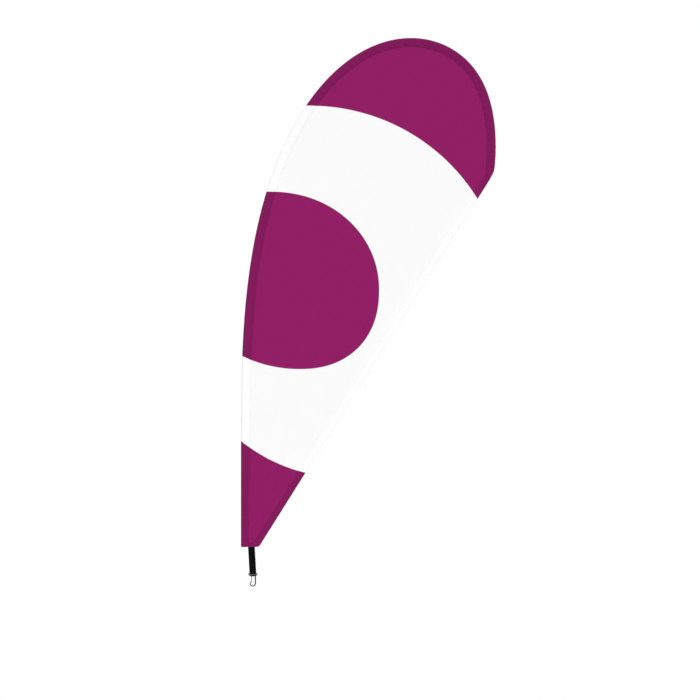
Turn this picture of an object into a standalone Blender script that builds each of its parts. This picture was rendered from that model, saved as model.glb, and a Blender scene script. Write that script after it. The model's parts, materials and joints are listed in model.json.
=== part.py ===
"""Teardrop flag with its sectional pole and a hanging hook strap.

Metres, +Z up. The origin is the centre of the pole's lower end. The pole bends in the XZ plane,
so the flag's straight edge is at +X, and the flag is seen from -Y.
"""
import bmesh
import bpy
import numpy as np
from math import atan2, cos, pi, radians, sin, sqrt

# Clearances
JOINT_GAP = 0.0003          # between faces that meet
SLIP_GAP = 0.0003           # all round a pole section inside the one below it
TURN_GAP = 0.0002           # round the gate's pin

# Pole: its length along the bend, and how sharply it bends (1 / radius)
POLE_LENGTH = 2.712
STRAIGHT_LENGTH = 0.35      # the stiff lower end stays straight
RAMP_LENGTH = 1.14          # the gentle bend builds up over this length
CROWN_FROM_TIP = 0.433      # the tightest bend lies this far below the tip
CROWN_BEND = 2.918          # extra bend at the crown, per metre
CROWN_RISE = 0.463          # how far below the crown its extra bend begins
CROWN_FALL = 0.255          # and how far past it that bend dies away
TOTAL_TURN = radians(183.8)  # from straight up at the base to pointing down at the tip

# Pole sections: where each one tops out along the pole, its radius and wall
BASE_TOP = 0.34
BASE_RADIUS = 0.0080
BASE_WALL = 0.0015
LOWER_TOP = 0.93
MIDDLE_TOP = 1.54
UPPER_TOP = 2.13
ROD_WALL = 0.0011
TIP_END_RADIUS = 0.0017
OVERLAP = 0.080             # length of each section inside the one below it
FERRULE_LENGTH = 0.030
FERRULE_WALL = 0.0006
COLLAR_HEIGHT = 0.012
TIP_CAP_LENGTH = 0.014
TIP_CAP_WALL = 0.0010
TIP_CAP_DEPTH = 0.010

# Bush in the pole's foot
BUSH_FLANGE = 0.0025
BUSH_DEPTH = 0.028
SOCKET_RADIUS = 0.0048

# Cloth
CLOTH = 0.0006              # one sewn ply of the sleeve
PANEL_THICKNESS = 0.0008
HEM_THICKNESS = 0.0018
SLEEVE_WIDTH = 0.032        # flat width of the pole sleeve
MOUTH_WIDTH = 0.025         # and at its mouth
MOUTH_TAPER = 0.30          # length over which it widens
MOUTH_DROP = 0.006          # the mouth hangs this far below the pole's end
MOUTH_BAND = 0.012
SLEEVE_ROOM = 0.0003        # round the base tube
TIP_ROOM = 0.0036           # round the tip, where the sleeve stays loose
NOSE_LENGTH = 0.0225        # cloth beyond the pole's tip
POCKET_LENGTH = 0.036       # closed pocket, measured back from the tip
BOTTOM_WIDTH = 0.0575       # bottom edge, from the pole side to the lower corner
LEECH_HEM = 0.024           # folded width along the straight edge
BOTTOM_HEM = 0.012
PATCH_HEIGHT = 0.040
PATCH_THICKNESS = 0.0006

# Strap
WEB_WIDTH = 0.0246
WEB_PLY = 0.0014
TAB_LENGTH = 0.032
STRAP_SIDE_GAP = 0.0006     # between the sleeve's mouth and the strap
STRAP_DROP = 0.0945         # from the hem to the hook's bar
STRAP_LEAN = 0.0052         # how far the strap's lower end stands towards the lower corner

# Hook
BAR_RADIUS = 0.0013
EYE_SIDE_GAP = 0.0015       # between the strap's edges and the eye's arms
EYE_BEND = 0.0021           # radius of the eye's corners
ARM_ROOT = 0.0034           # from under the bar down to where its arms end inside the yoke
SHOULDER_HEIGHT = 0.0078
SHOULDER_EDGE = 0.0022      # height of the yoke's upright sides
SHOULDER_LEFT = -0.0098     # where the yoke's sloping sides end
SHOULDER_RIGHT = 0.0109
HOOK_LENGTH = 0.0482        # from the bar to the bottom of the bow
BOW_X = -0.0004             # middle of the bow
BOW_RADIUS = 0.0093
BOW_SWEEP = radians(195)    # round the bow from the spine to the nose
BOW_TAPER = 0.22            # how much narrower the bow gets along its sweep
HOOK_BAR = 0.0045           # width of the hook's bar
BOW_DEPTH = 0.0042          # front to back
HOOK_DEPTH = 0.0052         # front to back of the yoke
HOOK_CHAMFER = 0.28         # cut off each corner, as a share of the half width and half depth
NOSE_SIDE = 0.0018          # the nose's lift towards the gate, and upwards
NOSE_RISE = 0.0032
NOSE_TILT = radians(30)
NOSE_WIDTH = 0.0031
CHEEK = 0.0009              # wall on each side of the gate's slot
SLOT_SIDE = 0.0018          # room in the slot beside, above and below the gate
SLOT_ABOVE = 0.0011
SLOT_BELOW = 0.0060
GATE_X = -0.0044
GATE_WIDTH = 0.0028
GATE_RIM = 0.0006           # the gate's head stands this far proud of its tongue
GATE_DROP = 0.0085          # pivot below the bar
GATE_LENGTH = 0.0248
PIN_RADIUS = 0.0007
GATE_HEAD_DEPTH = 0.0017    # part of the slot's depth that the gate's head takes
SPRING_WIRE = 0.00025       # radius
SPRING_TURNS = 2.25
SPRING_LEG = 0.0050
SPRING_FOOT = 0.0018

# Facets
RUN_STEP = 0.045            # between rings along the pole
ROUND_SIDES = 12
DROP_ROUND = 12             # points on the round and on the thin end of a sleeve's outline
DROP_THIN = 4
BOW_STEPS = 14
ROD_SIDES = 8
GATE_SIDES = 16
WIRE_SIDES = 6
COIL_STEPS = 12             # per turn of the spring

AXIS_SAMPLES = 4001


def make_material(name, color, roughness, metallic=0.0):
    material = bpy.data.materials.new(name)
    material.use_nodes = True
    shader = material.node_tree.nodes["Principled BSDF"]
    shader.inputs["Base Color"].default_value = (*color, 1.0)
    shader.inputs["Roughness"].default_value = roughness
    shader.inputs["Metallic"].default_value = metallic
    return material


# The pole's centre line

def build_axis():
    """Integrate the bend along the pole: distance, x, z and heading (from straight up)."""
    along = np.linspace(0.0, POLE_LENGTH, AXIS_SAMPLES)
    step = along[1] - along[0]
    gentle = np.clip((along - STRAIGHT_LENGTH) / RAMP_LENGTH, 0.0, 1.0)
    from_crown = along - (POLE_LENGTH - CROWN_FROM_TIP)
    spread = np.where(from_crown < 0, CROWN_RISE, CROWN_FALL)
    crown = CROWN_BEND * np.exp(-(from_crown / spread) ** 2)
    crown[along < STRAIGHT_LENGTH] = 0.0
    gentle_bend = (TOTAL_TURN - crown.sum() * step) / (gentle.sum() * step)
    bend = gentle_bend * gentle + crown
    heading = running_sum(bend, step)
    return along, running_sum(np.sin(heading), step), running_sum(np.cos(heading), step), heading


def running_sum(values, step):
    return np.concatenate([[0.0], np.cumsum(0.5 * (values[1:] + values[:-1]) * step)])


AXIS = build_axis()


def axis_at(distance):
    """Point and heading on the pole's line, which runs on straight past both ends."""
    along, x_line, z_line, heading = AXIS
    inside = min(max(distance, 0.0), POLE_LENGTH)
    x, z, turn = (np.interp(inside, along, line) for line in (x_line, z_line, heading))
    past = distance - inside
    return x + past * sin(turn), z + past * cos(turn), turn


def place(distance, across, depth):
    """World point at a distance along the pole, across towards the panel, and depth in Y."""
    x, z, turn = axis_at(distance)
    return (x + across * cos(turn), depth, z - across * sin(turn))


def shared_marks():
    """Ring distances shared by all pieces, so that nested pieces bend with the same facets."""
    marks = {POLE_LENGTH - POCKET_LENGTH, POLE_LENGTH - TIP_CAP_LENGTH}
    for top in (LOWER_TOP, MIDDLE_TOP, UPPER_TOP):
        marks |= {top, top - OVERLAP, top - FERRULE_LENGTH}
    for k in range(int(POLE_LENGTH / RUN_STEP) + 1):
        even = k * RUN_STEP
        if even > STRAIGHT_LENGTH and min(abs(even - mark) for mark in marks) > 0.3 * RUN_STEP:
            marks.add(even)
    return sorted(marks)


MARKS = shared_marks()


def stations(start, end):
    return [start] + [mark for mark in MARKS if start < mark < end] + [end]


# Meshes

def add_object(name, verts, faces, material, sharp=radians(35)):
    mesh = bpy.data.meshes.new(name)
    mesh.from_pydata([tuple(v) for v in verts], [], faces)
    work = bmesh.new()
    work.from_mesh(mesh)
    bmesh.ops.recalc_face_normals(work, faces=work.faces)
    work.to_mesh(mesh)
    work.free()
    mesh.shade_smooth()
    mesh.set_sharp_from_angle(angle=sharp)
    mesh.materials.append(material)
    obj = bpy.data.objects.new(name, mesh)
    bpy.context.collection.objects.link(obj)
    return obj


def skin(rings, base=0):
    """Quads between neighbouring rings of points."""
    count = len(rings[0])
    quads = []
    for row in range(len(rings) - 1):
        for k in range(count):
            here = base + row * count
            nxt = (k + 1) % count
            quads.append((here + k, here + nxt, here + count + nxt, here + count + k))
    return quads


def loft(name, outer, material, inner=None, inner_closed=False, sharp=radians(35)):
    """Closed body through outer rings, hollowed by inner rings: a tube, or a cup if closed."""
    count = len(outer[0])
    verts = [p for ring in outer for p in ring]
    faces = skin(outer)
    first = list(range(count))
    last = [(len(outer) - 1) * count + k for k in range(count)]
    if inner is None:
        return add_object(name, verts, faces + [first, last], material, sharp)
    base = len(verts)
    verts += [p for ring in inner for p in ring]
    faces += skin(inner, base)
    inner_last = [base + (len(inner) - 1) * count + k for k in range(count)]
    faces += bridge(first, [base + k for k in range(count)])
    faces += [last, inner_last] if inner_closed else bridge(last, inner_last)
    return add_object(name, verts, faces, material, sharp)


def bridge(ring_a, ring_b):
    count = len(ring_a)
    return [(ring_a[k], ring_a[(k + 1) % count], ring_b[(k + 1) % count], ring_b[k])
            for k in range(count)]


def circle(radius, sides=ROUND_SIDES):
    return [(radius * cos(2 * pi * (k + 0.5) / sides), radius * sin(2 * pi * (k + 0.5) / sides))
            for k in range(sides)]


def ring_on_pole(distance, section):
    return [place(distance, u, v) for u, v in section]


def plate(name, outline, y_low, y_high, material):
    """Flat piece with a convex outline in XZ."""
    rings = [[(x, y, z) for x, z in outline] for y in (y_low, y_high)]
    return loft(name, rings, material)


def line_meets(point_a, way_a, point_b, way_b):
    """Where two lines in XZ cross."""
    cross = way_a[0] * way_b[1] - way_a[1] * way_b[0]
    gap = (point_b[0] - point_a[0], point_b[1] - point_a[1])
    t = (gap[0] * way_b[1] - gap[1] * way_b[0]) / cross
    return (point_a[0] + way_a[0] * t, point_a[1] + way_a[1] * t)


# Pole sections

def section_radii():
    """Outer and inner radius of each section: each one slips into the one below."""
    radii = {"base": (BASE_RADIUS, BASE_RADIUS - BASE_WALL)}
    bore = BASE_RADIUS - BASE_WALL
    for name in ("lower", "middle", "upper"):
        outer = bore - SLIP_GAP
        bore = outer - ROD_WALL
        radii[name] = (outer, bore)
    radii["tip"] = (bore - SLIP_GAP, 0.0)
    return radii


RADII = section_radii()
BUSH_SEAT = BUSH_FLANGE + JOINT_GAP


def pole_tube(name, start, end, outer, inner, material):
    marks = stations(start, end)
    outside = [ring_on_pole(d, circle(outer)) for d in marks]
    inside = [ring_on_pole(d, circle(inner)) for d in marks]
    return loft(name, outside, material, inside)


def add_pole(metal, glass_fibre, plastic):
    base_out, base_in = RADII["base"]
    pole_tube("base_tube", BUSH_SEAT, BASE_TOP, base_out, base_in, metal)
    lower_out, lower_in = RADII["lower"]
    pole_tube("pole_lower", BASE_TOP - OVERLAP, LOWER_TOP, lower_out, lower_in, glass_fibre)
    seat = BASE_TOP + JOINT_GAP
    pole_tube("seat_collar", seat, seat + COLLAR_HEIGHT, base_out, lower_out + JOINT_GAP, metal)
    middle_out, middle_in = RADII["middle"]
    pole_tube("pole_middle", LOWER_TOP - OVERLAP, MIDDLE_TOP, middle_out, middle_in, glass_fibre)
    upper_out, upper_in = RADII["upper"]
    pole_tube("pole_upper", MIDDLE_TOP - OVERLAP, UPPER_TOP, upper_out, upper_in, glass_fibre)
    for name, top, radius in (("ferrule_lower", LOWER_TOP, lower_out),
                              ("ferrule_middle", MIDDLE_TOP, middle_out),
                              ("ferrule_upper", UPPER_TOP, upper_out)):
        bore = radius + JOINT_GAP
        pole_tube(name, top - FERRULE_LENGTH, top, bore + FERRULE_WALL, bore, metal)
    add_tip_rod(glass_fibre)
    add_tip_cap(plastic)


def tip_radius(distance):
    """The tip rod tapers from where it leaves the upper section."""
    share = max(0.0, (distance - UPPER_TOP) / (POLE_LENGTH - UPPER_TOP))
    return RADII["tip"][0] + share * (TIP_END_RADIUS - RADII["tip"][0])


def add_tip_rod(material):
    marks = stations(UPPER_TOP - OVERLAP, POLE_LENGTH - TIP_CAP_LENGTH + TIP_CAP_DEPTH)
    loft("pole_tip", [ring_on_pole(d, circle(tip_radius(d))) for d in marks], material)


def add_tip_cap(material):
    """Blind cap over the rod's end, rounded at its closed end."""
    start = POLE_LENGTH - TIP_CAP_LENGTH
    bore = tip_radius(start) + JOINT_GAP
    outer = bore + TIP_CAP_WALL
    dome = TIP_CAP_LENGTH - TIP_CAP_DEPTH - JOINT_GAP
    marks = [(start, outer), (POLE_LENGTH - 0.5 * dome, outer), (POLE_LENGTH, outer * 0.55)]
    outside = [ring_on_pole(d, circle(r)) for d, r in marks]
    floor = start + TIP_CAP_DEPTH + JOINT_GAP
    inside = [ring_on_pole(d, circle(bore)) for d in (start, floor)]
    loft("tip_cap", outside, material, inside, inner_closed=True)


def add_bush(material):
    """Turned bush: a flange under the tube's end and a spigot up its bore."""
    spigot = RADII["base"][1] - JOINT_GAP
    flange = BASE_RADIUS
    steps = [(0.0, flange), (BUSH_FLANGE, flange), (BUSH_FLANGE, spigot), (BUSH_DEPTH, spigot)]
    outside = [ring_on_pole(d, circle(r)) for d, r in steps]
    heights = (0.0, 0.5 * BUSH_FLANGE, BUSH_FLANGE, BUSH_DEPTH)
    inside = [ring_on_pole(d, circle(SOCKET_RADIUS)) for d in heights]
    loft("base_bush", outside, material, inside)


# Cloth

def sleeve_room(distance):
    """Inner radius of the sleeve round the pole, from the base tube to the loose tip."""
    base = BASE_RADIUS + SLEEVE_ROOM
    tip = RADII["tip"][0] + TIP_ROOM
    start = STRAIGHT_LENGTH + COLLAR_HEIGHT
    share = min(max((distance - start) / (POLE_LENGTH - start), 0.0), 1.0)
    return base + share * (tip - base)


def sleeve_width(distance):
    share = min(max((distance + MOUTH_DROP) / MOUTH_TAPER, 0.0), 1.0)
    return MOUTH_WIDTH + share * (SLEEVE_WIDTH - MOUTH_WIDTH)


def drop_section(radius, far, far_half):
    """Outline of a round end at 0 and a thin end at far, joined by their tangents."""
    lean = np.arcsin((radius - far_half) / (far - far_half))
    start, sweep = 0.5 * pi - lean, pi + 2 * lean
    round_end = np.linspace(start, start + sweep, DROP_ROUND)
    thin_end = np.linspace(-start, start, DROP_THIN)
    points = [(radius * cos(a), radius * sin(a)) for a in round_end]
    points += [(far - far_half + far_half * cos(a), far_half * sin(a)) for a in thin_end]
    return points


def sleeve_sections(distance, ply):
    """Outer and inner outline of the sewn sleeve at a distance along the pole."""
    room = sleeve_room(distance)
    outer = room + ply
    far = sleeve_width(distance) - outer
    half = 0.5 * HEM_THICKNESS
    inner_far = far - 4 * ply
    return drop_section(outer, far, half), drop_section(room, inner_far, 0.25 * half)


def seam(distance, gap=0.0):
    """Point on the sleeve's seam, where the panel begins."""
    room = sleeve_room(distance)
    return place(distance, sleeve_width(distance) - room - CLOTH + gap, 0.0)


def add_sleeve(cloth):
    bottom = MOUTH_BAND - MOUTH_DROP + JOINT_GAP
    top = POLE_LENGTH - POCKET_LENGTH - JOINT_GAP
    marks = [bottom, MOUTH_TAPER * 0.5] + stations(STRAIGHT_LENGTH, top)
    pairs = [sleeve_sections(d, CLOTH) for d in marks]
    outer = [ring_on_pole(d, pair[0]) for d, pair in zip(marks, pairs)]
    inner = [ring_on_pole(d, pair[1]) for d, pair in zip(marks, pairs)]
    loft("pole_sleeve", outer, cloth, inner)


def add_mouth_band(cloth):
    marks = [-MOUTH_DROP, MOUTH_BAND - MOUTH_DROP]
    pairs = [sleeve_sections(d, CLOTH) for d in marks]
    outer = [ring_on_pole(d, pair[0]) for d, pair in zip(marks, pairs)]
    inner = [ring_on_pole(d, pair[1]) for d, pair in zip(marks, pairs)]
    loft("mouth_band", outer, cloth, inner)


def nose_corner():
    """Outer corner of the cloth past the pole's tip."""
    room = sleeve_room(POLE_LENGTH) + CLOTH
    x, _, z = place(POLE_LENGTH + NOSE_LENGTH, -room, 0.0)
    return x, z


def bottom_corner():
    return BOTTOM_WIDTH - BASE_RADIUS - SLEEVE_ROOM - CLOTH, -MOUTH_DROP


def leech():
    """Nose corner, lower corner, and the unit vectors down the straight edge and inwards."""
    top, low = nose_corner(), bottom_corner()
    length = sqrt((low[0] - top[0]) ** 2 + (low[1] - top[1]) ** 2)
    down = ((low[0] - top[0]) / length, (low[1] - top[1]) / length)
    inward = (down[1], -down[0])
    return top, low, down, inward


def leech_across(distance):
    """How far across from the pole's line the straight edge lies."""
    top, _, down, _ = leech()
    x, z, turn = axis_at(distance)
    meet = line_meets((x, z), (cos(turn), -sin(turn)), top, down)
    return (meet[0] - x) * cos(turn) - (meet[1] - z) * sin(turn)


def add_pocket(cloth):
    """Closed nose of the sleeve: it holds the tip and runs out along the straight edge."""
    start = POLE_LENGTH - POCKET_LENGTH
    closed = POLE_LENGTH + 0.3 * NOSE_LENGTH
    half = 0.5 * HEM_THICKNESS
    room = sleeve_room(POLE_LENGTH)
    outer = [ring_on_pole(d, sleeve_sections(d, CLOTH)[0]) for d in (start, POLE_LENGTH)]
    inner = [ring_on_pole(d, sleeve_sections(d, CLOTH)[1])
             for d in (start, POLE_LENGTH, POLE_LENGTH + 0.1 * NOSE_LENGTH)]
    far = sleeve_width(POLE_LENGTH) - room - CLOTH
    near = -room - CLOTH
    mid_radius = 0.5 * (room + CLOTH)
    outer.append(strip_ring(closed, near, far, mid_radius, half))
    nose = POLE_LENGTH + NOSE_LENGTH
    outer.append(strip_ring(nose, near + half, far, half, half))
    for share in (0.5, 0.9):
        distance = nose + share * (tail_distance(far) - nose)
        outer.append(strip_ring(distance, leech_across(distance), far, half, half))
    loft("nose_pocket", outer, cloth, inner, inner_closed=True)


def strip_ring(distance, near, far, radius, half):
    """Flat ring from near to far, with a fuller near end."""
    shift = near + radius
    section = drop_section(radius, far - shift, half)
    return ring_on_pole(distance, [(u + shift, v) for u, v in section])


def tail_distance(far):
    """Distance along the pole's line at which the straight edge reaches the seam."""
    low, high = POLE_LENGTH + NOSE_LENGTH, POLE_LENGTH + 10 * SLEEVE_WIDTH
    for _ in range(40):
        mid = 0.5 * (low + high)
        if leech_across(mid) < far:
            low = mid
        else:
            high = mid
    return low


def hem_line(inset):
    """A line parallel to the straight edge, inset towards the pole: a point and its direction."""
    top, _, down, inward = leech()
    return (top[0] + inward[0] * inset, top[1] + inward[1] * inset), down


def level_on_leech(height, inset):
    point, down = hem_line(inset)
    return line_meets(point, down, (0.0, height), (1.0, 0.0))


def seam_on_leech(inset, gap):
    """Where the seam, offset by gap, meets a line parallel to the straight edge."""
    far = sleeve_width(POLE_LENGTH) - sleeve_room(POLE_LENGTH) - CLOTH + gap
    start = place(POLE_LENGTH, far, 0.0)
    _, _, turn = axis_at(POLE_LENGTH)
    point, down = hem_line(inset)
    return line_meets((start[0], start[2]), (sin(turn), cos(turn)), point, down)


def add_panel(cloth):
    """Single-ply printed panel between the sleeve's seam and the two hems."""
    bottom = BOTTOM_HEM - MOUTH_DROP + JOINT_GAP
    marks = [bottom, MOUTH_TAPER * 0.5] + stations(STRAIGHT_LENGTH, POLE_LENGTH)
    inset = LEECH_HEM + JOINT_GAP
    left = [seam(d, JOINT_GAP) for d in marks]
    outline = [(x, z) for x, _, z in left]
    outline.append(seam_on_leech(inset, JOINT_GAP))
    outline.append(level_on_leech(bottom, inset))
    half = 0.5 * PANEL_THICKNESS
    plate("flag_panel", outline, -half, half, cloth)


def add_hems(cloth):
    half = 0.5 * HEM_THICKNESS
    top_edge = seam_on_leech(0.0, JOINT_GAP)
    top_inner = seam_on_leech(LEECH_HEM, JOINT_GAP)
    level = BOTTOM_HEM - MOUTH_DROP + JOINT_GAP
    outline = [top_edge, level_on_leech(level, 0.0), level_on_leech(level, LEECH_HEM), top_inner]
    plate("leech_hem", outline, -half, half, cloth)
    lower, upper = -MOUTH_DROP, BOTTOM_HEM - MOUTH_DROP
    left_low, left_high = seam(lower, JOINT_GAP), seam(upper, JOINT_GAP)
    outline = [(left_low[0], lower), level_on_leech(lower, 0.0), level_on_leech(upper, 0.0),
               (left_high[0], upper)]
    plate("bottom_hem", outline, -half, half, cloth)


def patch_back():
    """Depth of the patch's front face: it lies behind the hem."""
    return 0.5 * HEM_THICKNESS + JOINT_GAP


def add_patch(cloth):
    lower, upper = -MOUTH_DROP, PATCH_HEIGHT - MOUTH_DROP
    left_low, left_high = seam(lower, JOINT_GAP), seam(upper, JOINT_GAP)
    outline = [(left_low[0], lower), level_on_leech(lower, 0.0), level_on_leech(upper, 0.0),
               (left_high[0], upper)]
    front = patch_back()
    plate("hem_patch", outline, front, front + PATCH_THICKNESS, cloth)


# Strap

def strap_depth():
    """Middle of the sewn tab, behind the patch."""
    return patch_back() + PATCH_THICKNESS + JOINT_GAP + 0.5 * WEB_PLY


MOUTH_EDGE = MOUTH_WIDTH - BASE_RADIUS - SLEEVE_ROOM - CLOTH
STRAP_X = MOUTH_EDGE + STRAP_SIDE_GAP + 0.5 * WEB_WIDTH
EYE_WIDTH = WEB_WIDTH + 2 * EYE_SIDE_GAP + 4 * BAR_RADIUS
HINGE_Z = -MOUTH_DROP - 0.5 * WEB_PLY - JOINT_GAP
HOOK_X = STRAP_X + STRAP_LEAN
HOOK_Z = HINGE_Z - STRAP_DROP


def add_tab(webbing):
    middle, half = STRAP_X, 0.5 * WEB_WIDTH
    bottom = -MOUTH_DROP
    outline = [(middle - half, bottom), (middle + half, bottom),
               (middle + half, bottom + TAB_LENGTH), (middle - half, bottom + TAB_LENGTH)]
    depth = strap_depth()
    plate("strap_tab", outline, depth - 0.5 * WEB_PLY, depth + 0.5 * WEB_PLY, webbing)


def add_strap(webbing):
    """Hanging webbing, folded round the hook's bar, leaning towards the lower corner."""
    inner = BAR_RADIUS + JOINT_GAP
    outer = inner + WEB_PLY
    half_stem = 0.5 * WEB_PLY
    neck = atan2(half_stem, sqrt(outer ** 2 - half_stem ** 2))
    fold = np.linspace(neck, 2 * pi - neck, 22)
    crown = np.linspace(0.0, pi, 5)
    over = np.linspace(-neck, neck, len(crown) + 2)[1:-1]
    web = [(outer * sin(a), outer * cos(a)) for a in fold]
    web += [(-half_stem * cos(a), STRAP_DROP + half_stem * sin(a)) for a in crown]
    eye = [(inner * sin(a), inner * cos(a)) for a in [*fold, *over]]
    outside = [strap_ring(web, side) for side in (-0.5, 0.5)]
    inside = [strap_ring(eye, side) for side in (-0.5, 0.5)]
    loft("hook_strap", outside, webbing, inside)


def strap_ring(profile, side):
    """One edge of the strap: its profile in YZ, leaning sideways with depth below the hem."""
    ring = []
    for y, rise in profile:
        lean = STRAP_LEAN * (1.0 - min(max(rise / STRAP_DROP, 0.0), 1.0))
        ring.append((STRAP_X + lean + side * WEB_WIDTH, strap_depth() + y, HOOK_Z + rise))
    return ring


# Hook: points are (across, up) from the middle of its bar

def hook_ring(across, up, normal, width, depth):
    """Chamfered bar section, square to the path."""
    half_w, half_d = 0.5 * width, 0.5 * depth
    cut = HOOK_CHAMFER
    outline = [(1, 1 - cut), (1 - cut, 1), (cut - 1, 1), (-1, 1 - cut),
               (-1, cut - 1), (cut - 1, -1), (1 - cut, -1), (1, cut - 1)]
    return [(HOOK_X + across + normal[0] * half_w * a, strap_depth() + half_d * b,
             HOOK_Z + up + normal[1] * half_w * a) for a, b in outline]


def bow_path():
    """Spine, bow and nose: points, outward normals and widths."""
    centre = (BOW_X, -HOOK_LENGTH + BOW_RADIUS + 0.5 * HOOK_BAR)
    path = [((BOW_X + BOW_RADIUS, -SHOULDER_HEIGHT), (1, 0), HOOK_BAR)]
    for k in range(BOW_STEPS + 1):
        share = k / BOW_STEPS
        normal = (cos(BOW_SWEEP * share), -sin(BOW_SWEEP * share))
        point = (centre[0] + BOW_RADIUS * normal[0], centre[1] + BOW_RADIUS * normal[1])
        path.append((point, normal, HOOK_BAR * (1 - BOW_TAPER * share)))
    (across, up), _, _ = path[-1]
    path.append(((across + NOSE_SIDE, up + NOSE_RISE), (-cos(NOSE_TILT), sin(NOSE_TILT)), NOSE_WIDTH))
    return path


def add_hook_body(alloy):
    shoulder = add_shoulder(alloy)
    bar = loft("hook_bow", [hook_ring(*point, normal, width, BOW_DEPTH)
                            for point, normal, width in bow_path()], alloy)
    eye = add_eye(alloy)
    slot = add_slot()
    hole = add_pin_hole()
    for other, operation in ((bar, "UNION"), (eye, "UNION"), (slot, "DIFFERENCE"),
                             (hole, "DIFFERENCE")):
        cut = shoulder.modifiers.new(other.name, "BOOLEAN")
        cut.operation = operation
        cut.object = other
        cut.solver = "EXACT"
        other.hide_render = True
        other.display_type = "WIRE"


def add_shoulder(alloy):
    """Yoke under the bar, narrowing to the width of the hook."""
    top = -BAR_RADIUS - JOINT_GAP * 2 - WEB_PLY
    half = 0.5 * EYE_WIDTH
    rows = [(-half, half, top), (-half, half, top - SHOULDER_EDGE),
            (SHOULDER_LEFT, SHOULDER_RIGHT, top - SHOULDER_HEIGHT)]
    rings = []
    for left, right, up in rows:
        rings.append(hook_ring(0.5 * (left + right), up, (1, 0), right - left, HOOK_DEPTH))
    return loft("hook_body", rings, alloy, sharp=radians(40))


def add_eye(alloy):
    """Round bar with its two side arms, as one bent rod."""
    side = 0.5 * EYE_WIDTH - BAR_RADIUS
    bend = EYE_BEND
    foot = -BAR_RADIUS - ARM_ROOT
    path = [((-side, foot), 0.0)]
    corner = [k / 4 for k in range(5)]
    path += [((-side + bend - bend * cos(c * pi / 2), -bend + bend * sin(c * pi / 2)), c * pi / 2)
             for c in corner]
    path += [((side - bend + bend * sin(c * pi / 2), -bend + bend * cos(c * pi / 2)),
              (1 + c) * pi / 2) for c in corner]
    path += [((side, foot), pi)]
    rings = []
    for (across, up), turn in path:
        out = (-cos(turn), sin(turn))
        rings.append([(HOOK_X + across + out[0] * u, strap_depth() + v, HOOK_Z + up + out[1] * u)
                      for u, v in circle(BAR_RADIUS, ROD_SIDES)])
    return loft("hook_eye", rings, alloy)


def add_slot():
    """Cutter: the gate's slot, open at the bottom and on both sides of the gate."""
    half = 0.5 * HOOK_DEPTH - CHEEK
    reach = 0.5 * GATE_WIDTH + SLOT_SIDE
    top = -GATE_DROP + 0.5 * GATE_WIDTH + SLOT_ABOVE
    low = -GATE_DROP - SLOT_BELOW
    ring = []
    for y in (-half, half):
        ring.append([(HOOK_X + GATE_X + dx, strap_depth() + y, HOOK_Z + up)
                     for dx, up in ((-reach, low), (reach, low), (reach, top), (-reach, top))])
    return loft("slot_cutter", ring, None)


def pivot_rod(name, radius, reach, material):
    """Round rod on the gate's pivot, reaching as far to the front as to the back."""
    rings = [[(HOOK_X + GATE_X + u, strap_depth() + y, HOOK_Z - GATE_DROP + v)
              for u, v in circle(radius)] for y in (-reach, reach)]
    return loft(name, rings, material)


def add_pin_hole():
    return pivot_rod("pin_hole_cutter", PIN_RADIUS + TURN_GAP, HOOK_DEPTH, None)


def gate_depths():
    """Front and back of the gate's head, and the back of the slot."""
    half = 0.5 * HOOK_DEPTH - CHEEK
    front = -half + JOINT_GAP
    return front, front + GATE_HEAD_DEPTH, half


def add_gate(alloy):
    """Gate tongue: a ring round the pin and a bar down to the nose."""
    front, head_back, _ = gate_depths()
    half, rim = 0.5 * GATE_WIDTH, 0.5 * GATE_WIDTH + GATE_RIM
    outer, inner = circle(rim, GATE_SIDES), circle(PIN_RADIUS + TURN_GAP, GATE_SIDES)
    first = 3 * GATE_SIDES // 4 - 1      # the two lowest points of the head become the tongue's end
    neck = -sqrt(rim ** 2 - half ** 2)
    outer[first - 1:first + 3] = [(-half, neck), (-half, -GATE_LENGTH), (half, -GATE_LENGTH), (half, neck)]
    loft("hook_gate", [gate_ring(outer, y) for y in (front, head_back)], alloy,
         [gate_ring(inner, y) for y in (front, head_back)])


def gate_ring(points, y):
    return [(HOOK_X + GATE_X + u, strap_depth() + y, HOOK_Z - GATE_DROP + v) for u, v in points]


def add_pin(metal):
    pivot_rod("gate_pin", PIN_RADIUS, 0.5 * HOOK_DEPTH, metal)


def add_spring(metal):
    """Torsion spring round the pin, behind the gate's head, with one leg down the gate."""
    _, head_back, back = gate_depths()
    start = head_back + JOINT_GAP + SPRING_WIRE
    room = back - JOINT_GAP - SPRING_WIRE - start
    radius = PIN_RADIUS + TURN_GAP + 2 * SPRING_WIRE
    turns = np.linspace(0.0, 2 * pi * SPRING_TURNS, int(SPRING_TURNS * COIL_STEPS) + 1)
    path = [(radius, start, -SPRING_LEG)]
    path += [(radius * cos(a), start + room * a / turns[-1], radius * sin(a)) for a in turns]
    path.append((path[-1][0] - SPRING_FOOT, path[-1][1], path[-1][2]))
    points = [np.array(point) for point in path]
    rings = []
    for k, point in enumerate(points):
        way = points[min(k + 1, len(points) - 1)] - points[max(k - 1, 0)]
        way /= np.linalg.norm(way)
        side = np.cross(way, (0.0, 1.0, 0.0))
        side /= np.linalg.norm(side)
        up = np.cross(side, way)
        rings.append(gate_wire(point, side, up))
    return loft("gate_spring", rings, metal)


def gate_wire(point, side, up):
    """Wire section about a point given from the gate's pivot."""
    pivot = np.array((HOOK_X + GATE_X, strap_depth(), HOOK_Z - GATE_DROP))
    return [tuple(pivot + point + SPRING_WIRE * (cos(a) * side + sin(a) * up))
            for a in np.linspace(0.0, 2 * pi, WIRE_SIDES + 1)[:-1]]


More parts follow.
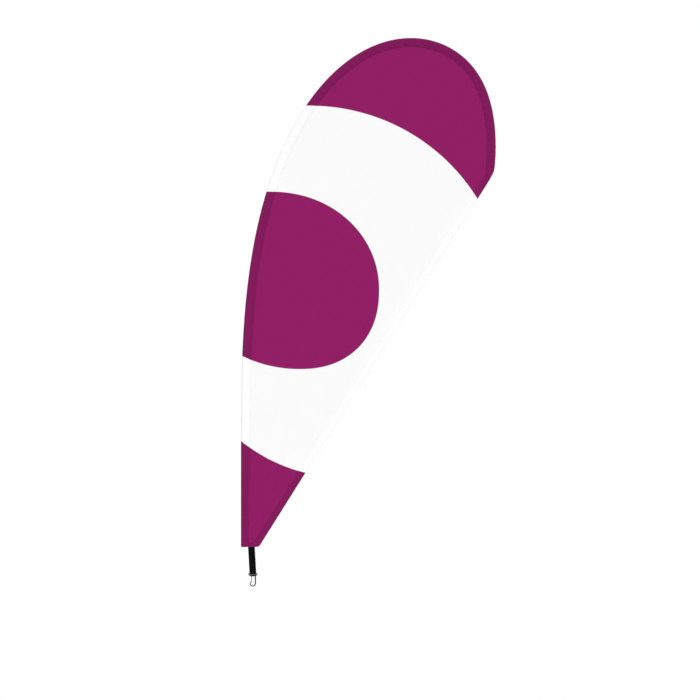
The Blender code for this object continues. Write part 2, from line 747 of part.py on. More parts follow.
def main():
    for obj in list(bpy.data.objects):
        bpy.data.objects.remove(obj, do_unlink=True)
    cloth = make_material("printed_cloth", (0.29, 0.014, 0.13), 0.75)
    webbing = make_material("black_webbing", (0.010, 0.010, 0.011), 0.8)
    alloy = make_material("dark_alloy", (0.12, 0.12, 0.125), 0.4, 1.0)
    metal = make_material("bare_aluminium", (0.75, 0.75, 0.77), 0.35, 1.0)
    steel = make_material("bright_steel", (0.6, 0.6, 0.6), 0.3, 1.0)
    glass_fibre = make_material("black_glass_fibre", (0.02, 0.02, 0.02), 0.45)
    plastic = make_material("black_plastic", (0.015, 0.015, 0.016), 0.5)
    add_pole(metal, glass_fibre, plastic)
    add_bush(plastic)
    add_sleeve(cloth)
    add_mouth_band(cloth)
    add_pocket(cloth)
    add_panel(cloth)
    add_hems(cloth)
    add_patch(cloth)
    add_tab(webbing)
    add_strap(webbing)
    add_hook_body(alloy)
    add_gate(alloy)
    add_pin(steel)
    add_spring(steel)


main()
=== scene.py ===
import json
import bmesh
import bpy
import numpy as np
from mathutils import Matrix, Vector
from mathutils.geometry import delaunay_2d_cdt


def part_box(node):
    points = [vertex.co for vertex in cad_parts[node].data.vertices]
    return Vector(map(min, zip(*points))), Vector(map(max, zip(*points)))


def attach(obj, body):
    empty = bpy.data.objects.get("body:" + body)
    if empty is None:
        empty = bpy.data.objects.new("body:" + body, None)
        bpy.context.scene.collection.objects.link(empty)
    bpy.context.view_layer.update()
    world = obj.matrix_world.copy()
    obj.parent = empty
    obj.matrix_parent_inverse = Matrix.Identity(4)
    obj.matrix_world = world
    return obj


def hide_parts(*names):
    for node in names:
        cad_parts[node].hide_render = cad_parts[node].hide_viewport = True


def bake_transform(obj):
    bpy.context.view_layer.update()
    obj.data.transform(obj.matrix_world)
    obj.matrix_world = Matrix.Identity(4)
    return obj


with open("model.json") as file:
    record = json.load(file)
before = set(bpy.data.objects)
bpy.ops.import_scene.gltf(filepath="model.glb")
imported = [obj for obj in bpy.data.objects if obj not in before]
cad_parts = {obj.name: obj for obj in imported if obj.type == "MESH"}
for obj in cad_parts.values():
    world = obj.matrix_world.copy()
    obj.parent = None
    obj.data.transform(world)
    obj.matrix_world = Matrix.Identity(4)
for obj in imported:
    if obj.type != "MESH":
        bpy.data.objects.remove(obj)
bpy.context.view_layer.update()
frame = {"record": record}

jointAt = {j["name"]: np.array(j.get("pos_m", (0, 0, 0)), float)
           for j in frame["record"]["behaviour"]["joints"]}

# The pole's line. Its bend per metre is a gentle ramp plus a bump at the crown.
poleLine = {"length": 2.712, "straight": 0.35, "ramp": 1.14, "crownFromTip": 0.433,
            "crownBend": 2.918, "crownRise": 0.463, "crownFall": 0.255, "turn": 183.8}


# area under a line, added up from its start
def runningSum(values, step):
    return np.concatenate([[0.0], np.cumsum(0.5 * (values[1:] + values[:-1]) * step)])


# heading = running sum of the bend; x and z = running sums of its sine and cosine
def measurePole():
    p = poleLine
    s = np.linspace(0.0, p["length"], 4001)
    step = s[1]
    gentle = np.clip((s - p["straight"]) / p["ramp"], 0, 1)
    off = s - (p["length"] - p["crownFromTip"])
    crown = p["crownBend"] * np.exp(-(off / np.where(off < 0, p["crownRise"], p["crownFall"])) ** 2)
    crown[s < p["straight"]] = 0
    rate = (np.radians(p["turn"]) - crown.sum() * step) / (gentle.sum() * step)
    bend = rate * gentle + crown
    heading = runningSum(bend, step)
    return s, runningSum(np.sin(heading), step), runningSum(np.cos(heading), step), heading, bend


poleTable = measurePole()


# point = pole line at s + across * inward normal; it runs on straight past both ends
def onPole(s, across):
    s = np.asarray(s, float)
    inside = np.clip(s, 0, poleLine["length"])
    x, z, turn = (np.interp(inside, poleTable[0], line) for line in poleTable[1:4])
    past = s - inside
    return (x + past * np.sin(turn) + across * np.cos(turn),
            z + past * np.cos(turn) - across * np.sin(turn))


# 0 to 1 with level ends: 3t² - 2t³
def smooth(t):
    t = np.clip(t, 0, 1)
    return t * t * (3 - 2 * t)


# Meshes from whole arrays

def addMesh(name, points, faces, material, uv=None):
    mesh = bpy.data.meshes.new(name)
    points = np.asarray(points, float).reshape(-1, 3)
    faces = np.asarray(faces, np.int32)
    sides = faces.shape[1]
    mesh.vertices.add(len(points))
    mesh.vertices.foreach_set("co", points.astype(np.float32).ravel())
    mesh.loops.add(faces.size)
    mesh.loops.foreach_set("vertex_index", faces.ravel())
    mesh.polygons.add(len(faces))
    mesh.polygons.foreach_set("loop_start", np.arange(0, faces.size, sides, dtype=np.int32))
    if uv is not None:
        layer = mesh.uv_layers.new(name="UVMap")
        layer.data.foreach_set("uv", np.asarray(uv, np.float32).reshape(-1, 2)[faces.ravel()].ravel())
    mesh.update(calc_edges=True)
    mesh.materials.append(material)
    mesh.polygons.foreach_set("use_smooth", np.ones(len(mesh.polygons), bool))
    piece = bpy.data.objects.new(name, mesh)
    bpy.context.collection.objects.link(piece)
    return piece


# quads between the rows of a grid; the columns close into rings when wrapped
def gridFaces(rows, cols, wrapped=False):
    r, c = np.meshgrid(np.arange(rows - 1), np.arange(cols if wrapped else cols - 1), indexing="ij")
    after = (c + 1) % cols
    quads = np.stack([r * cols + c, r * cols + after, (r + 1) * cols + after, (r + 1) * cols + c], -1)
    return quads.reshape(-1, 4)


# close doubles joined, then every normal turned outwards
def cleanMesh(piece, distance=2e-6):
    work = bmesh.new()
    work.from_mesh(piece.data)
    bmesh.ops.remove_doubles(work, verts=work.verts, dist=distance)
    bmesh.ops.dissolve_degenerate(work, edges=work.edges, dist=distance)
    bmesh.ops.recalc_face_normals(work, faces=work.faces)
    work.to_mesh(piece.data)
    work.free()
    return piece


# an open sheet's faces all turned the same way: along the given way(middle) of each face
def faceAlong(piece, way):
    work = bmesh.new()
    work.from_mesh(piece.data)
    bmesh.ops.recalc_face_normals(work, faces=work.faces)
    lean = sum(face.normal.dot(way(face.calc_center_median())) * face.calc_area() for face in work.faces)
    if lean < 0:
        bmesh.ops.reverse_faces(work, faces=work.faces)
    work.to_mesh(piece.data)
    work.free()
    return piece


# a closed tube: rings of points, each end drawn together into its own middle
def ringTube(name, rings, material, uv=None):
    rings = np.asarray(rings, float)
    ends = [np.repeat(rings[k:k + 1].mean(1, keepdims=True), rings.shape[1], 1) for k in (0, len(rings) - 1)]
    full = np.concatenate([ends[0], rings, ends[1]])
    if uv is not None:
        uv = np.concatenate([uv[:1], uv, uv[-1:]])
    return cleanMesh(addMesh(name, full, gridFaces(len(full), rings.shape[1], wrapped=True), material, uv))


# a profile of (radius, height) carried round an axis along Z (or Y) through a point
def turned(name, profile, centre, material, sides=72, axis="z"):
    profile = np.asarray(profile, float)
    angle = np.linspace(0, 2 * np.pi, sides, endpoint=False)
    across, up = profile[:, :1] * np.cos(angle), profile[:, :1] * np.sin(angle)
    level = np.repeat(profile[:, 1:], sides, 1)
    spot = (across, up, level) if axis == "z" else (across, level, up)
    points = np.stack(spot, -1) + np.asarray(centre, float)
    return cleanMesh(addMesh(name, points, gridFaces(len(profile), sides, wrapped=True), material))


def addAttribute(piece, name, values):
    layer = piece.data.attributes.new(name, "FLOAT", "POINT")
    layer.data.foreach_set("value", np.asarray(values, np.float32).ravel())


def meshPoints(piece):
    co = np.empty(len(piece.data.vertices) * 3, np.float32)
    piece.data.vertices.foreach_get("co", co)
    return co.reshape(-1, 3).astype(float)


def modifier(piece, kind, **settings):
    made = piece.modifiers.new(kind.title(), kind)
    for key, value in settings.items():
        setattr(made, key, value)
    return made


# the mesh as its modifiers leave it, with none left on the piece
def bakeModifiers(piece):
    shape = piece.evaluated_get(bpy.context.evaluated_depsgraph_get())
    mesh = bpy.data.meshes.new_from_object(shape)
    piece.modifiers.clear()
    piece.data = mesh
    mesh.polygons.foreach_set("use_smooth", np.ones(len(mesh.polygons), bool))
    return piece


def dropPiece(piece):
    bpy.data.objects.remove(piece, do_unlink=True)


# Node helpers

def makeGroup(name, inputs, outputs):
    group = bpy.data.node_groups.new(name, "ShaderNodeTree")
    for label, kind, value in inputs:
        made = group.interface.new_socket(name=label, in_out="INPUT", socket_type=kind)
        if value is not None:
            made.default_value = value
    for label, kind in outputs:
        group.interface.new_socket(name=label, in_out="OUTPUT", socket_type=kind)
    return group, group.nodes.new("NodeGroupInput"), group.nodes.new("NodeGroupOutput")


def put(tree, source, target):
    if isinstance(source, bpy.types.NodeSocket):
        tree.links.new(source, target)
    else:
        target.default_value = source


def mathNode(tree, operation, *values, clamp=False):
    node = tree.nodes.new("ShaderNodeMath")
    node.operation = operation
    node.use_clamp = clamp
    for k, value in enumerate(values):
        put(tree, value, node.inputs[k])
    return node.outputs[0]


def mapRange(tree, value, low, high, toLow=0.0, toHigh=1.0, style="SMOOTHSTEP"):
    node = tree.nodes.new("ShaderNodeMapRange")
    node.interpolation_type = style
    for k, given in enumerate((value, low, high, toLow, toHigh)):
        put(tree, given, node.inputs[k])
    return node.outputs[0]


def mixColor(tree, factor, first, second, blend="MIX"):
    node = tree.nodes.new("ShaderNodeMix")
    node.data_type = "RGBA"
    node.blend_type = blend
    for k, given in ((0, factor), (6, first), (7, second)):
        put(tree, given, node.inputs[k])
    return node.outputs[2]


def greyNode(tree, value):
    node = tree.nodes.new("ShaderNodeCombineColor")
    for k in range(3):
        put(tree, value, node.inputs[k])
    return node.outputs[0]


def noiseNode(tree, vector, scale, detail=2.0, roughness=0.5):
    node = tree.nodes.new("ShaderNodeTexNoise")
    put(tree, vector, node.inputs["Vector"])
    put(tree, scale, node.inputs["Scale"])
    node.inputs["Detail"].default_value = detail
    node.inputs["Roughness"].default_value = roughness
    return node.outputs["Fac"]


def bumpNode(tree, height, distance, strength=1.0):
    node = tree.nodes.new("ShaderNodeBump")
    node.inputs["Strength"].default_value = strength
    node.inputs["Distance"].default_value = distance
    put(tree, height, node.inputs["Height"])
    return node.outputs["Normal"]


def mappingNode(tree, vector, scale=(1, 1, 1), turn=(0, 0, 0)):
    node = tree.nodes.new("ShaderNodeMapping")
    node.inputs["Scale"].default_value = scale
    node.inputs["Rotation"].default_value = turn
    put(tree, vector, node.inputs["Vector"])
    return node.outputs[0]


def newMaterial(name, roughness, metallic=0.0, **settings):
    material = bpy.data.materials.new(name)
    material.use_nodes = True
    shader = material.node_tree.nodes["Principled BSDF"]
    shader.inputs["Roughness"].default_value = roughness
    shader.inputs["Metallic"].default_value = metallic
    for label, value in settings.items():
        shader.inputs[label.replace("_", " ")].default_value = value
    return material, material.node_tree, shader


def useGroup(tree, group, **values):
    node = tree.nodes.new("ShaderNodeGroup")
    node.node_tree = group
    for label, value in values.items():
        put(tree, value, node.inputs[label.replace("_", " ")])
    return node.outputs[0]


def coords(tree, kind="Object"):
    return tree.nodes.new("ShaderNodeTexCoord").outputs[kind]


def attributeNode(tree, name):
    node = tree.nodes.new("ShaderNodeAttribute")
    node.attribute_name = name
    return node.outputs["Fac"]


# Crossed threads: height = the larger of two rows of ribs, each lifted where it crosses over
def makeWeaveGroup():
    group, inlet, outlet = makeGroup(
        "weave", [("Vector", "NodeSocketVector", None), ("Across", "NodeSocketFloat", 1000.0),
                  ("Along", "NodeSocketFloat", 1000.0)], [("Height", "NodeSocketFloat")])
    split = group.nodes.new("ShaderNodeSeparateXYZ")
    put(group, inlet.outputs["Vector"], split.inputs[0])
    a = mathNode(group, "MULTIPLY", split.outputs[0], inlet.outputs["Across"])
    b = mathNode(group, "MULTIPLY", split.outputs[1], inlet.outputs["Along"])
    ribA = mathNode(group, "ABSOLUTE", mathNode(group, "SINE", a))
    ribB = mathNode(group, "ABSOLUTE", mathNode(group, "SINE", b))
    over = mathNode(group, "MULTIPLY", mathNode(group, "COSINE", a), mathNode(group, "COSINE", b))
    lift = mapRange(group, over, -1.0, 1.0)
    low = mathNode(group, "SUBTRACT", 1.0, lift)
    high = mathNode(group, "MAXIMUM", mathNode(group, "MULTIPLY", ribA, lift),
                    mathNode(group, "MULTIPLY", ribB, low))
    put(group, high, outlet.inputs["Height"])
    return group


# Soft mottling at two scales, for dye, dirt and cast skins
def makeMottleGroup():
    group, inlet, outlet = makeGroup(
        "mottle", [("Vector", "NodeSocketVector", None), ("Broad", "NodeSocketFloat", 6.0),
                   ("Fine", "NodeSocketFloat", 160.0), ("Amount", "NodeSocketFloat", 0.1)],
        [("Value", "NodeSocketFloat")])
    broad = noiseNode(group, inlet.outputs["Vector"], inlet.outputs["Broad"], 3.0)
    fine = noiseNode(group, inlet.outputs["Vector"], inlet.outputs["Fine"], 2.0)
    both = mathNode(group, "ADD", mathNode(group, "MULTIPLY", broad, 0.65),
                    mathNode(group, "MULTIPLY", fine, 0.35))
    centred = mathNode(group, "SUBTRACT", both, 0.5)
    put(group, mathNode(group, "MULTIPLY_ADD", centred, inlet.outputs["Amount"], 1.0), outlet.inputs["Value"])
    return group


weaveGroup = makeWeaveGroup()
mottleGroup = makeMottleGroup()

# The print: purple head, foot and half-round field on white, lengths in metres
clothPrint = {"headCentre": (0.2433, 0.8804), "headRadius": 0.7106, "headAbove": 1.05,
              "footCentre": (0.3624, 0.8344), "footRadius": 0.5879, "footBelow": 0.50,
              "fieldHeight": 0.9260, "fieldTop": (0.1053, 0.3863, 0.3540, 2.03),
              "fieldRight": (0.2031, 0.2885, 0.2882, 2.25), "fieldLeft": (0.2031, 0.3765, 0.2882, 2.0),
              "inkBleed": 0.0006}


# signed distance to the nearest edge of the print, positive on purple:
# outside two circles, or inside a field made of three superellipse quarters
def inkDistance(x, z):
    p = clothPrint
    head = np.hypot(x - p["headCentre"][0], z - p["headCentre"][1]) - p["headRadius"]
    foot = np.hypot(x - p["footCentre"][0], z - p["footCentre"][1]) - p["footRadius"]
    head = np.where(z > p["headAbove"], head, -1.0)
    foot = np.where(z < p["footBelow"], foot, -1.0)

    def quarter(shape, levelLeft):
        centre, wide, tall, power = shape
        across = np.maximum(x - centre, 0) if levelLeft else np.abs(x - centre)
        rise = np.abs(z - p["fieldHeight"])
        level = ((across / wide) ** power + (rise / tall) ** power) ** (1 / power)
        slope = np.hypot((across / wide) ** (power - 1) / wide, (rise / tall) ** (power - 1) / tall)
        return (1 - level) / np.maximum(slope * np.maximum(level, 1e-3) ** (1 - power), 1e-3)

    lower = np.where(x > p["fieldRight"][0], quarter(p["fieldRight"], False), quarter(p["fieldLeft"], False))
    field = np.where(z > p["fieldHeight"], quarter(p["fieldTop"], True), lower)
    return np.maximum(np.maximum(head, foot), field)


def addPrint(piece, pliesAndShade=0.0):
    co = meshPoints(piece)
    addAttribute(piece, "ink", inkDistance(co[:, 0], co[:, 2]))
    addAttribute(piece, "pliesAndShade", np.broadcast_to(pliesAndShade, len(co)))


# Dye-printed knitted polyester; where a second ply lies behind it a doubled colour is used: a darker purple that
# is partly the thicker cloth and partly painted shade, and a whiter white that is partly the thicker cloth and
# partly painted light
clothLook = {"purple": (0.2553, 0.0105, 0.1142, 1), "white": (0.885, 0.885, 0.887, 1),
             "purpleDoubledShaded": (0.2050, 0.0087, 0.0949, 1), "whiteDoubledLit": (0.93, 0.93, 0.932, 1),
             "knitAcross": 2900.0, "knitAlong": 2300.0, "knitDepth": 0.00022}


def makeCloth():
    look = clothLook
    material, tree, shader = newMaterial("printedCloth", 0.8, Sheen_Weight=0.03, Sheen_Roughness=0.4,
                                         Specular_IOR_Level=0.06)
    ink = mapRange(tree, attributeNode(tree, "ink"), -clothPrint["inkBleed"], clothPrint["inkBleed"])
    # weight of the doubled colour at each point: the second ply plus painted shade on purple and painted light on
    # white
    deep = mapRange(tree, attributeNode(tree, "pliesAndShade"), 0.0, 1.0, style="LINEAR")
    thin = mixColor(tree, ink, look["white"], look["purple"])
    thick = mixColor(tree, ink, look["whiteDoubledLit"], look["purpleDoubledShaded"])
    place = coords(tree)
    knit = useGroup(tree, weaveGroup, Vector=mappingNode(tree, place, turn=(np.pi / 2, 0, 0)),
                    Across=look["knitAcross"], Along=look["knitAlong"])
    # the knit's low points painted darker and its crests lighter: painted shade and highlight of the knit's
    # relief, on top of its bump
    knitShadeAndHighlight = mapRange(tree, knit, 0.0, 1.0, 0.90, 1.045, "LINEAR")
    mottle = useGroup(tree, mottleGroup, Vector=place, Broad=3.0, Fine=420.0, Amount=0.03)
    tint = greyNode(tree, mathNode(tree, "MULTIPLY", knitShadeAndHighlight, mottle))
    put(tree, mixColor(tree, 1.0, mixColor(tree, deep, thin, thick), tint, "MULTIPLY"),
        shader.inputs["Base Color"])
    put(tree, mapRange(tree, knit, 0.0, 1.0, 0.9, 0.72, "LINEAR"), shader.inputs["Roughness"])
    put(tree, bumpNode(tree, knit, look["knitDepth"], 0.8), shader.inputs["Normal"])
    return material


# Twisted sewing thread in the colour of the cloth under it
def makeThread():
    material, tree, shader = newMaterial("tonalThread", 0.5, Specular_IOR_Level=0.15)
    ink = mapRange(tree, attributeNode(tree, "ink"), -clothPrint["inkBleed"], clothPrint["inkBleed"])
    base = mixColor(tree, ink, (0.80, 0.80, 0.81, 1), (0.15, 0.007, 0.068, 1))
    twist = noiseNode(tree, coords(tree), 2600.0, 1.0)
    tint = greyNode(tree, mapRange(tree, twist, 0.35, 0.65, 0.86, 1.05))
    put(tree, mixColor(tree, 1.0, base, tint, "MULTIPLY"), shader.inputs["Base Color"])
    put(tree, bumpNode(tree, twist, 0.00006), shader.inputs["Normal"])
    return material


# Black webbing: ribs along it and picks across it, on the strap's own UV in metres
def makeWebbing():
    material, tree, shader = newMaterial("blackWebbing", 0.8, Specular_IOR_Level=0.035)
    flat = coords(tree, "UV")
    weave = useGroup(tree, weaveGroup, Vector=flat, Across=np.pi / 0.0014, Along=np.pi / 0.0009)
    fibre = noiseNode(tree, mappingNode(tree, flat, (9000, 900, 1)), 1.0, 2.0)
    worn = useGroup(tree, mottleGroup, Vector=coords(tree), Broad=60.0, Fine=900.0, Amount=0.9)
    # the weave's low points painted darker and its raised threads lighter: painted shade of the weave's relief
    base = mixColor(tree, weave, (0.0012, 0.0012, 0.0014, 1), (0.0048, 0.0048, 0.0052, 1))
    base = mixColor(tree, mapRange(tree, fibre, 0.5, 0.8, 0.0, 0.35), base, (0.010, 0.010, 0.0105, 1))
    put(tree, mixColor(tree, 1.0, base, greyNode(tree, worn), "MULTIPLY"), shader.inputs["Base Color"])
    height = mathNode(tree, "MULTIPLY_ADD", fibre, 0.25, weave)
    put(tree, bumpNode(tree, height, 0.00028), shader.inputs["Normal"])
    put(tree, mapRange(tree, weave, 0.0, 1.0, 0.75, 0.5), shader.inputs["Roughness"])
    return material


def makeBlackThread():
    material, tree, shader = newMaterial("blackThread", 0.42, Specular_IOR_Level=0.2)
    twist = noiseNode(tree, coords(tree), 2600.0, 1.0)
    put(tree, mixColor(tree, twist, (0.004, 0.004, 0.0045, 1), (0.016, 0.016, 0.017, 1)),
        shader.inputs["Base Color"])
    put(tree, bumpNode(tree, twist, 0.00006), shader.inputs["Normal"])
    return material


# Dark plated casting: a faint orange skin, cloudy plating, and brighter metal where it rubs
def makeAlloy():
    material, tree, shader = newMaterial("darkAlloy", 0.38, 1.0)
    place = coords(tree)
    cloud = useGroup(tree, mottleGroup, Vector=place, Broad=90.0, Fine=700.0, Amount=0.5)
    rubbed = mapRange(tree, noiseNode(tree, place, 260.0, 4.0, 0.65), 0.60, 0.72)
    base = mixColor(tree, rubbed, (0.050, 0.050, 0.053, 1), (0.14, 0.14, 0.145, 1))
    put(tree, mixColor(tree, 1.0, base, greyNode(tree, cloud), "MULTIPLY"), shader.inputs["Base Color"])
    skin = noiseNode(tree, place, 1500.0, 3.0)
    put(tree, mapRange(tree, skin, 0.3, 0.7, 0.30, 0.50), shader.inputs["Roughness"])
    put(tree, bumpNode(tree, skin, 0.00005, 0.6), shader.inputs["Normal"])
    return material


# Drawn metal: long fine lines, scratches across them, and a cloudy shine
def makeDrawnMetal(name, colour, roughness, stretch):
    material, tree, shader = newMaterial(name, roughness, 1.0)
    place = coords(tree)
    lines = noiseNode(tree, mappingNode(tree, place, stretch), 1.0, 3.0, 0.6)
    cloud = useGroup(tree, mottleGroup, Vector=place, Broad=25.0, Fine=500.0, Amount=0.35)
    tint = greyNode(tree, mathNode(tree, "MULTIPLY", cloud, mapRange(tree, lines, 0.3, 0.7, 0.88, 1.0)))
    put(tree, mixColor(tree, 1.0, colour, tint, "MULTIPLY"), shader.inputs["Base Color"])
    put(tree, mapRange(tree, lines, 0.3, 0.7, roughness - 0.08, roughness + 0.12), shader.inputs["Roughness"])
    put(tree, bumpNode(tree, lines, 0.00003, 0.5), shader.inputs["Normal"])
    return material


# Black plastics and glass fibre: fine grain, stretched into strands for the fibre
def makeBlack(name, roughness, stretch, colour, paler, depth):
    material, tree, shader = newMaterial(name, roughness)
    place = coords(tree)
    grain = noiseNode(tree, mappingNode(tree, place, stretch), 1.0, 3.0, 0.6)
    dust = useGroup(tree, mottleGroup, Vector=place, Broad=14.0, Fine=350.0, Amount=0.8)
    base = mixColor(tree, mapRange(tree, grain, 0.4, 0.75), colour, paler)
    put(tree, mixColor(tree, 1.0, base, greyNode(tree, dust), "MULTIPLY"), shader.inputs["Base Color"])
    put(tree, mapRange(tree, grain, 0.3, 0.7, roughness - 0.06, roughness + 0.1), shader.inputs["Roughness"])
    put(tree, bumpNode(tree, grain, depth, 0.6), shader.inputs["Normal"])
    return material


cloth, thread, webbing, blackThread, alloy = (makeCloth(), makeThread(), makeWebbing(), makeBlackThread(),
                                              makeAlloy())
aluminium = makeDrawnMetal("drawnAluminium", (0.72, 0.72, 0.74, 1), 0.30, (900, 900, 14))
steel = makeDrawnMetal("brightSteel", (0.58, 0.58, 0.59, 1), 0.22, (1500, 1500, 1500))
fibreRod = makeBlack("glassFibreRod", 0.34, (2200, 2200, 22), (0.012, 0.012, 0.012, 1),
                     (0.035, 0.034, 0.031, 1), 0.00003)
plastic = makeBlack("mouldedBlack", 0.48, (900, 900, 900), (0.012, 0.012, 0.013, 1),
                    (0.024, 0.024, 0.025, 1), 0.00005)

# Sleeve, straight edge and hems, in metres
sleeve = {"ply": 0.0006, "baseRoom": 0.0083, "tipRoom": 0.0053, "roomFrom": 0.362,
          "width": 0.032, "mouthWidth": 0.025, "mouthTaper": 0.30, "drop": 0.006, "halfFlat": 0.0009,
          "nose": 0.0225, "mouthRound": 0.0055, "noseRound": 0.0035, "rings": 640, "wall": 0.00045,
          "cut": (0.070, 2.796), "cutArea": 0.195}
leechHem = {"width": 0.024, "thick": 0.0016, "curl": 0.0021, "curlReach": 0.009}


def sleeveRadius(s):
    share = np.clip((s - sleeve["roomFrom"]) / (poleLine["length"] - sleeve["roomFrom"]), 0, 1)
    return sleeve["baseRoom"] + share * (sleeve["tipRoom"] - sleeve["baseRoom"]) + sleeve["ply"]


def sleeveWide(s):
    share = np.clip((s + sleeve["drop"]) / sleeve["mouthTaper"], 0, 1)
    return sleeve["mouthWidth"] + share * (sleeve["width"] - sleeve["mouthWidth"])


def seamAcross(s):
    return sleeveWide(s) - sleeveRadius(s)


# the straight edge: nose corner, lower corner, unit vectors down it and into the cloth
def measureLeech():
    end = poleLine["length"]
    top = np.array(onPole(end + sleeve["nose"], -sleeveRadius(end)))
    low = np.array([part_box("bottom_hem")[1][0], -sleeve["drop"]])
    down = (low - top) / np.linalg.norm(low - top)
    return top, low, down, np.array([down[1], -down[0]])


leechTop, leechLow, leechDown, leechIn = measureLeech()
leechLength = float(np.linalg.norm(leechLow - leechTop))


# distance into the cloth from the straight edge, and distance down along it
def fromLeech(x, z):
    return ((x - leechTop[0]) * leechIn[0] + (z - leechTop[1]) * leechIn[1],
            (x - leechTop[0]) * leechDown[0] + (z - leechTop[1]) * leechDown[1])


# even-odd rule, one edge of the polygon at a time over the whole lattice
def insidePolygon(px, pz, edgeX, edgeZ):
    inside = np.zeros(px.shape, bool)
    for x0, z0, x1, z1 in zip(edgeX, edgeZ, np.roll(edgeX, -1), np.roll(edgeZ, -1)):
        if z0 != z1:
            inside ^= ((z0 > pz) != (z1 > pz)) & (px < (x1 - x0) * (pz - z0) / (z1 - z0) + x0)
    return inside


# Relief of the stretched cloth
relief = {"cell": 0.012, "billow": 0.0065, "passes": 4200, "edgeWave": 0.0016, "rays": 0.0008,
          "pucker": 0.0006, "gather": 0.0009}


# A membrane under an even load: each free height goes to the mean of its neighbours plus the load.
# The sleeve's seam holds it at zero and the straight edge is left free.
def solveBillow():
    cell = relief["cell"]
    xs, zs = np.arange(-0.02, 0.93, cell), np.arange(-0.02, 1.85, cell)
    gx, gz = np.meshgrid(xs, zs, indexing="ij")
    s = np.linspace(0.0, poleLine["length"], 700)
    lineX, lineZ = onPole(s, seamAcross(s))
    inside = insidePolygon(gx, gz, np.append(lineX, [leechTop[0], leechLow[0]]),
                           np.append(lineZ, [leechTop[1], leechLow[1]]))
    beyond = (fromLeech(gx, gz)[0] < 0) & (gx > 0.10)
    height = np.zeros_like(gx)
    for _ in range(relief["passes"]):
        padded = np.pad(height, 1, mode="edge")
        mean = 0.25 * (padded[2:, 1:-1] + padded[:-2, 1:-1] + padded[1:-1, 2:] + padded[1:-1, :-2])
        height = np.where(inside | beyond, mean + np.where(inside, 0.25 * cell ** 2, 0), 0.0)
    return xs, zs, height / height[inside].max()


billow = solveBillow()
print("stage: membrane solved")


# height of the membrane between its lattice points, straight between the four nearest
def sampleBillow(x, z):
    xs, zs, height = billow
    fx = np.clip((x - xs[0]) / relief["cell"], 0, len(xs) - 1.001)
    fz = np.clip((z - zs[0]) / relief["cell"], 0, len(zs) - 1.001)
    i, j = fx.astype(int), fz.astype(int)
    u, v = fx - i, fz - j
    return ((1 - u) * (1 - v) * height[i, j] + u * (1 - v) * height[i + 1, j]
            + (1 - u) * v * height[i, j + 1] + u * v * height[i + 1, j + 1])


# depth = billow + a slow wave that dies away from the straight edge + its rolled-back rim
# + rays that fan out of the lower corner
def clothDepth(x, z):
    x, z = np.asarray(x, float), np.asarray(z, float)
    inward, along = fromLeech(x, z)
    inward = np.maximum(inward, 0)
    ends = smooth(along / 0.25) * smooth((leechLength - along) / 0.35)
    wave = np.sin(along * 17.0 + 0.8 * np.sin(along * 5.1)) + 0.4 * np.sin(along * 41.0 + 1.3)
    edge = relief["edgeWave"] * wave * np.exp(-inward / 0.05) * ends
    nearEnds = np.exp(-along / 0.35) + np.exp(-(leechLength - along) / 0.45)
    roll = leechHem["curl"] * (0.55 + 0.6 * nearEnds) * np.clip(1 - inward / leechHem["curlReach"], 0, 1) ** 2
    roll = roll * smooth((leechLength - along) / 0.06)
    reach = np.hypot(x - leechLow[0], z - leechLow[1])
    angle = np.arctan2(x - leechLow[0] + 0.05, z - leechLow[1] + 0.02)
    rays = np.sin(angle * 46.0) * np.exp(-((reach - 0.34) / 0.22) ** 2)
    height = sampleBillow(x, z)
    return relief["billow"] * height + edge + roll + relief["rays"] * rays * smooth(height * 6)


# The printed panel: a triangulated lattice inside its outline, lifted by the relief
panel = {"cell": 0.0085, "tuck": 0.004, "thick": 0.00035, "cut": (0.674, 1.886), "cutArea": 0.853}


def makePanel():
    cell, tuck = panel["cell"], panel["tuck"]
    s = np.arange(0.004, poleLine["length"] + 0.05, cell)
    lineX, lineZ = onPole(s, seamAcross(s) - tuck)
    keep = fromLeech(lineX, lineZ)[0] > tuck
    t = np.linspace(0.045, leechLength - 0.012, int(leechLength / cell))
    edge = leechTop + leechDown * t[:, None] + leechIn * tuck
    outline = np.concatenate([np.stack([lineX[keep], lineZ[keep]], 1), edge])
    xs, zs = np.arange(-0.02, 0.93, cell), np.arange(-0.02, 1.85, cell * 0.87)
    gx, gz = np.meshgrid(xs, zs, indexing="ij")
    gx = gx + 0.5 * cell * (np.arange(len(zs)) % 2)
    near = insidePolygon(gx, gz, outline[:, 0], outline[:, 1])
    gaps = np.full(gx.shape, 9.0)
    for ox, oz in outline[::2]:
        gaps = np.minimum(gaps, (gx - ox) ** 2 + (gz - oz) ** 2)
    near &= gaps > (0.75 * cell) ** 2
    points = np.concatenate([outline, np.stack([gx[near], gz[near]], 1)])
    rim = [(k, (k + 1) % len(outline)) for k in range(len(outline))]
    found, _, faces, _, _, _ = delaunay_2d_cdt([Vector(p) for p in points], rim, [], 1, 1e-7)
    flat = np.array([tuple(p) for p in found])
    spots = np.stack([flat[:, 0], clothDepth(flat[:, 0], flat[:, 1]), flat[:, 1]], 1)
    piece = faceAlong(addMesh("flagCloth", spots, np.array(faces), cloth), lambda at: Vector((0, -1, 0)))
    modifier(piece, "SOLIDIFY", thickness=panel["thick"], offset=0.0)
    bakeModifiers(piece)
    addPrint(piece, 0.0)
    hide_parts("flag_panel")
    return piece


# Half thickness of the sleeve at a distance in from its outer edge: a circle round the pole,
# then a straight run, tangent to it, down to the flat seam
def sleeveHalf(inward, radius, wide):
    flat = sleeve["halfFlat"]
    across = inward - radius
    far = wide - radius
    lean = np.arcsin(np.clip((radius - flat) / np.maximum(far, radius + 1e-4), 0, 0.98))
    ball = np.sqrt(np.clip(radius ** 2 - across ** 2, 0, None))
    run = (far - across) * np.tan(lean) + flat
    return np.where(across < radius * np.sin(lean), ball, np.minimum(run, radius))


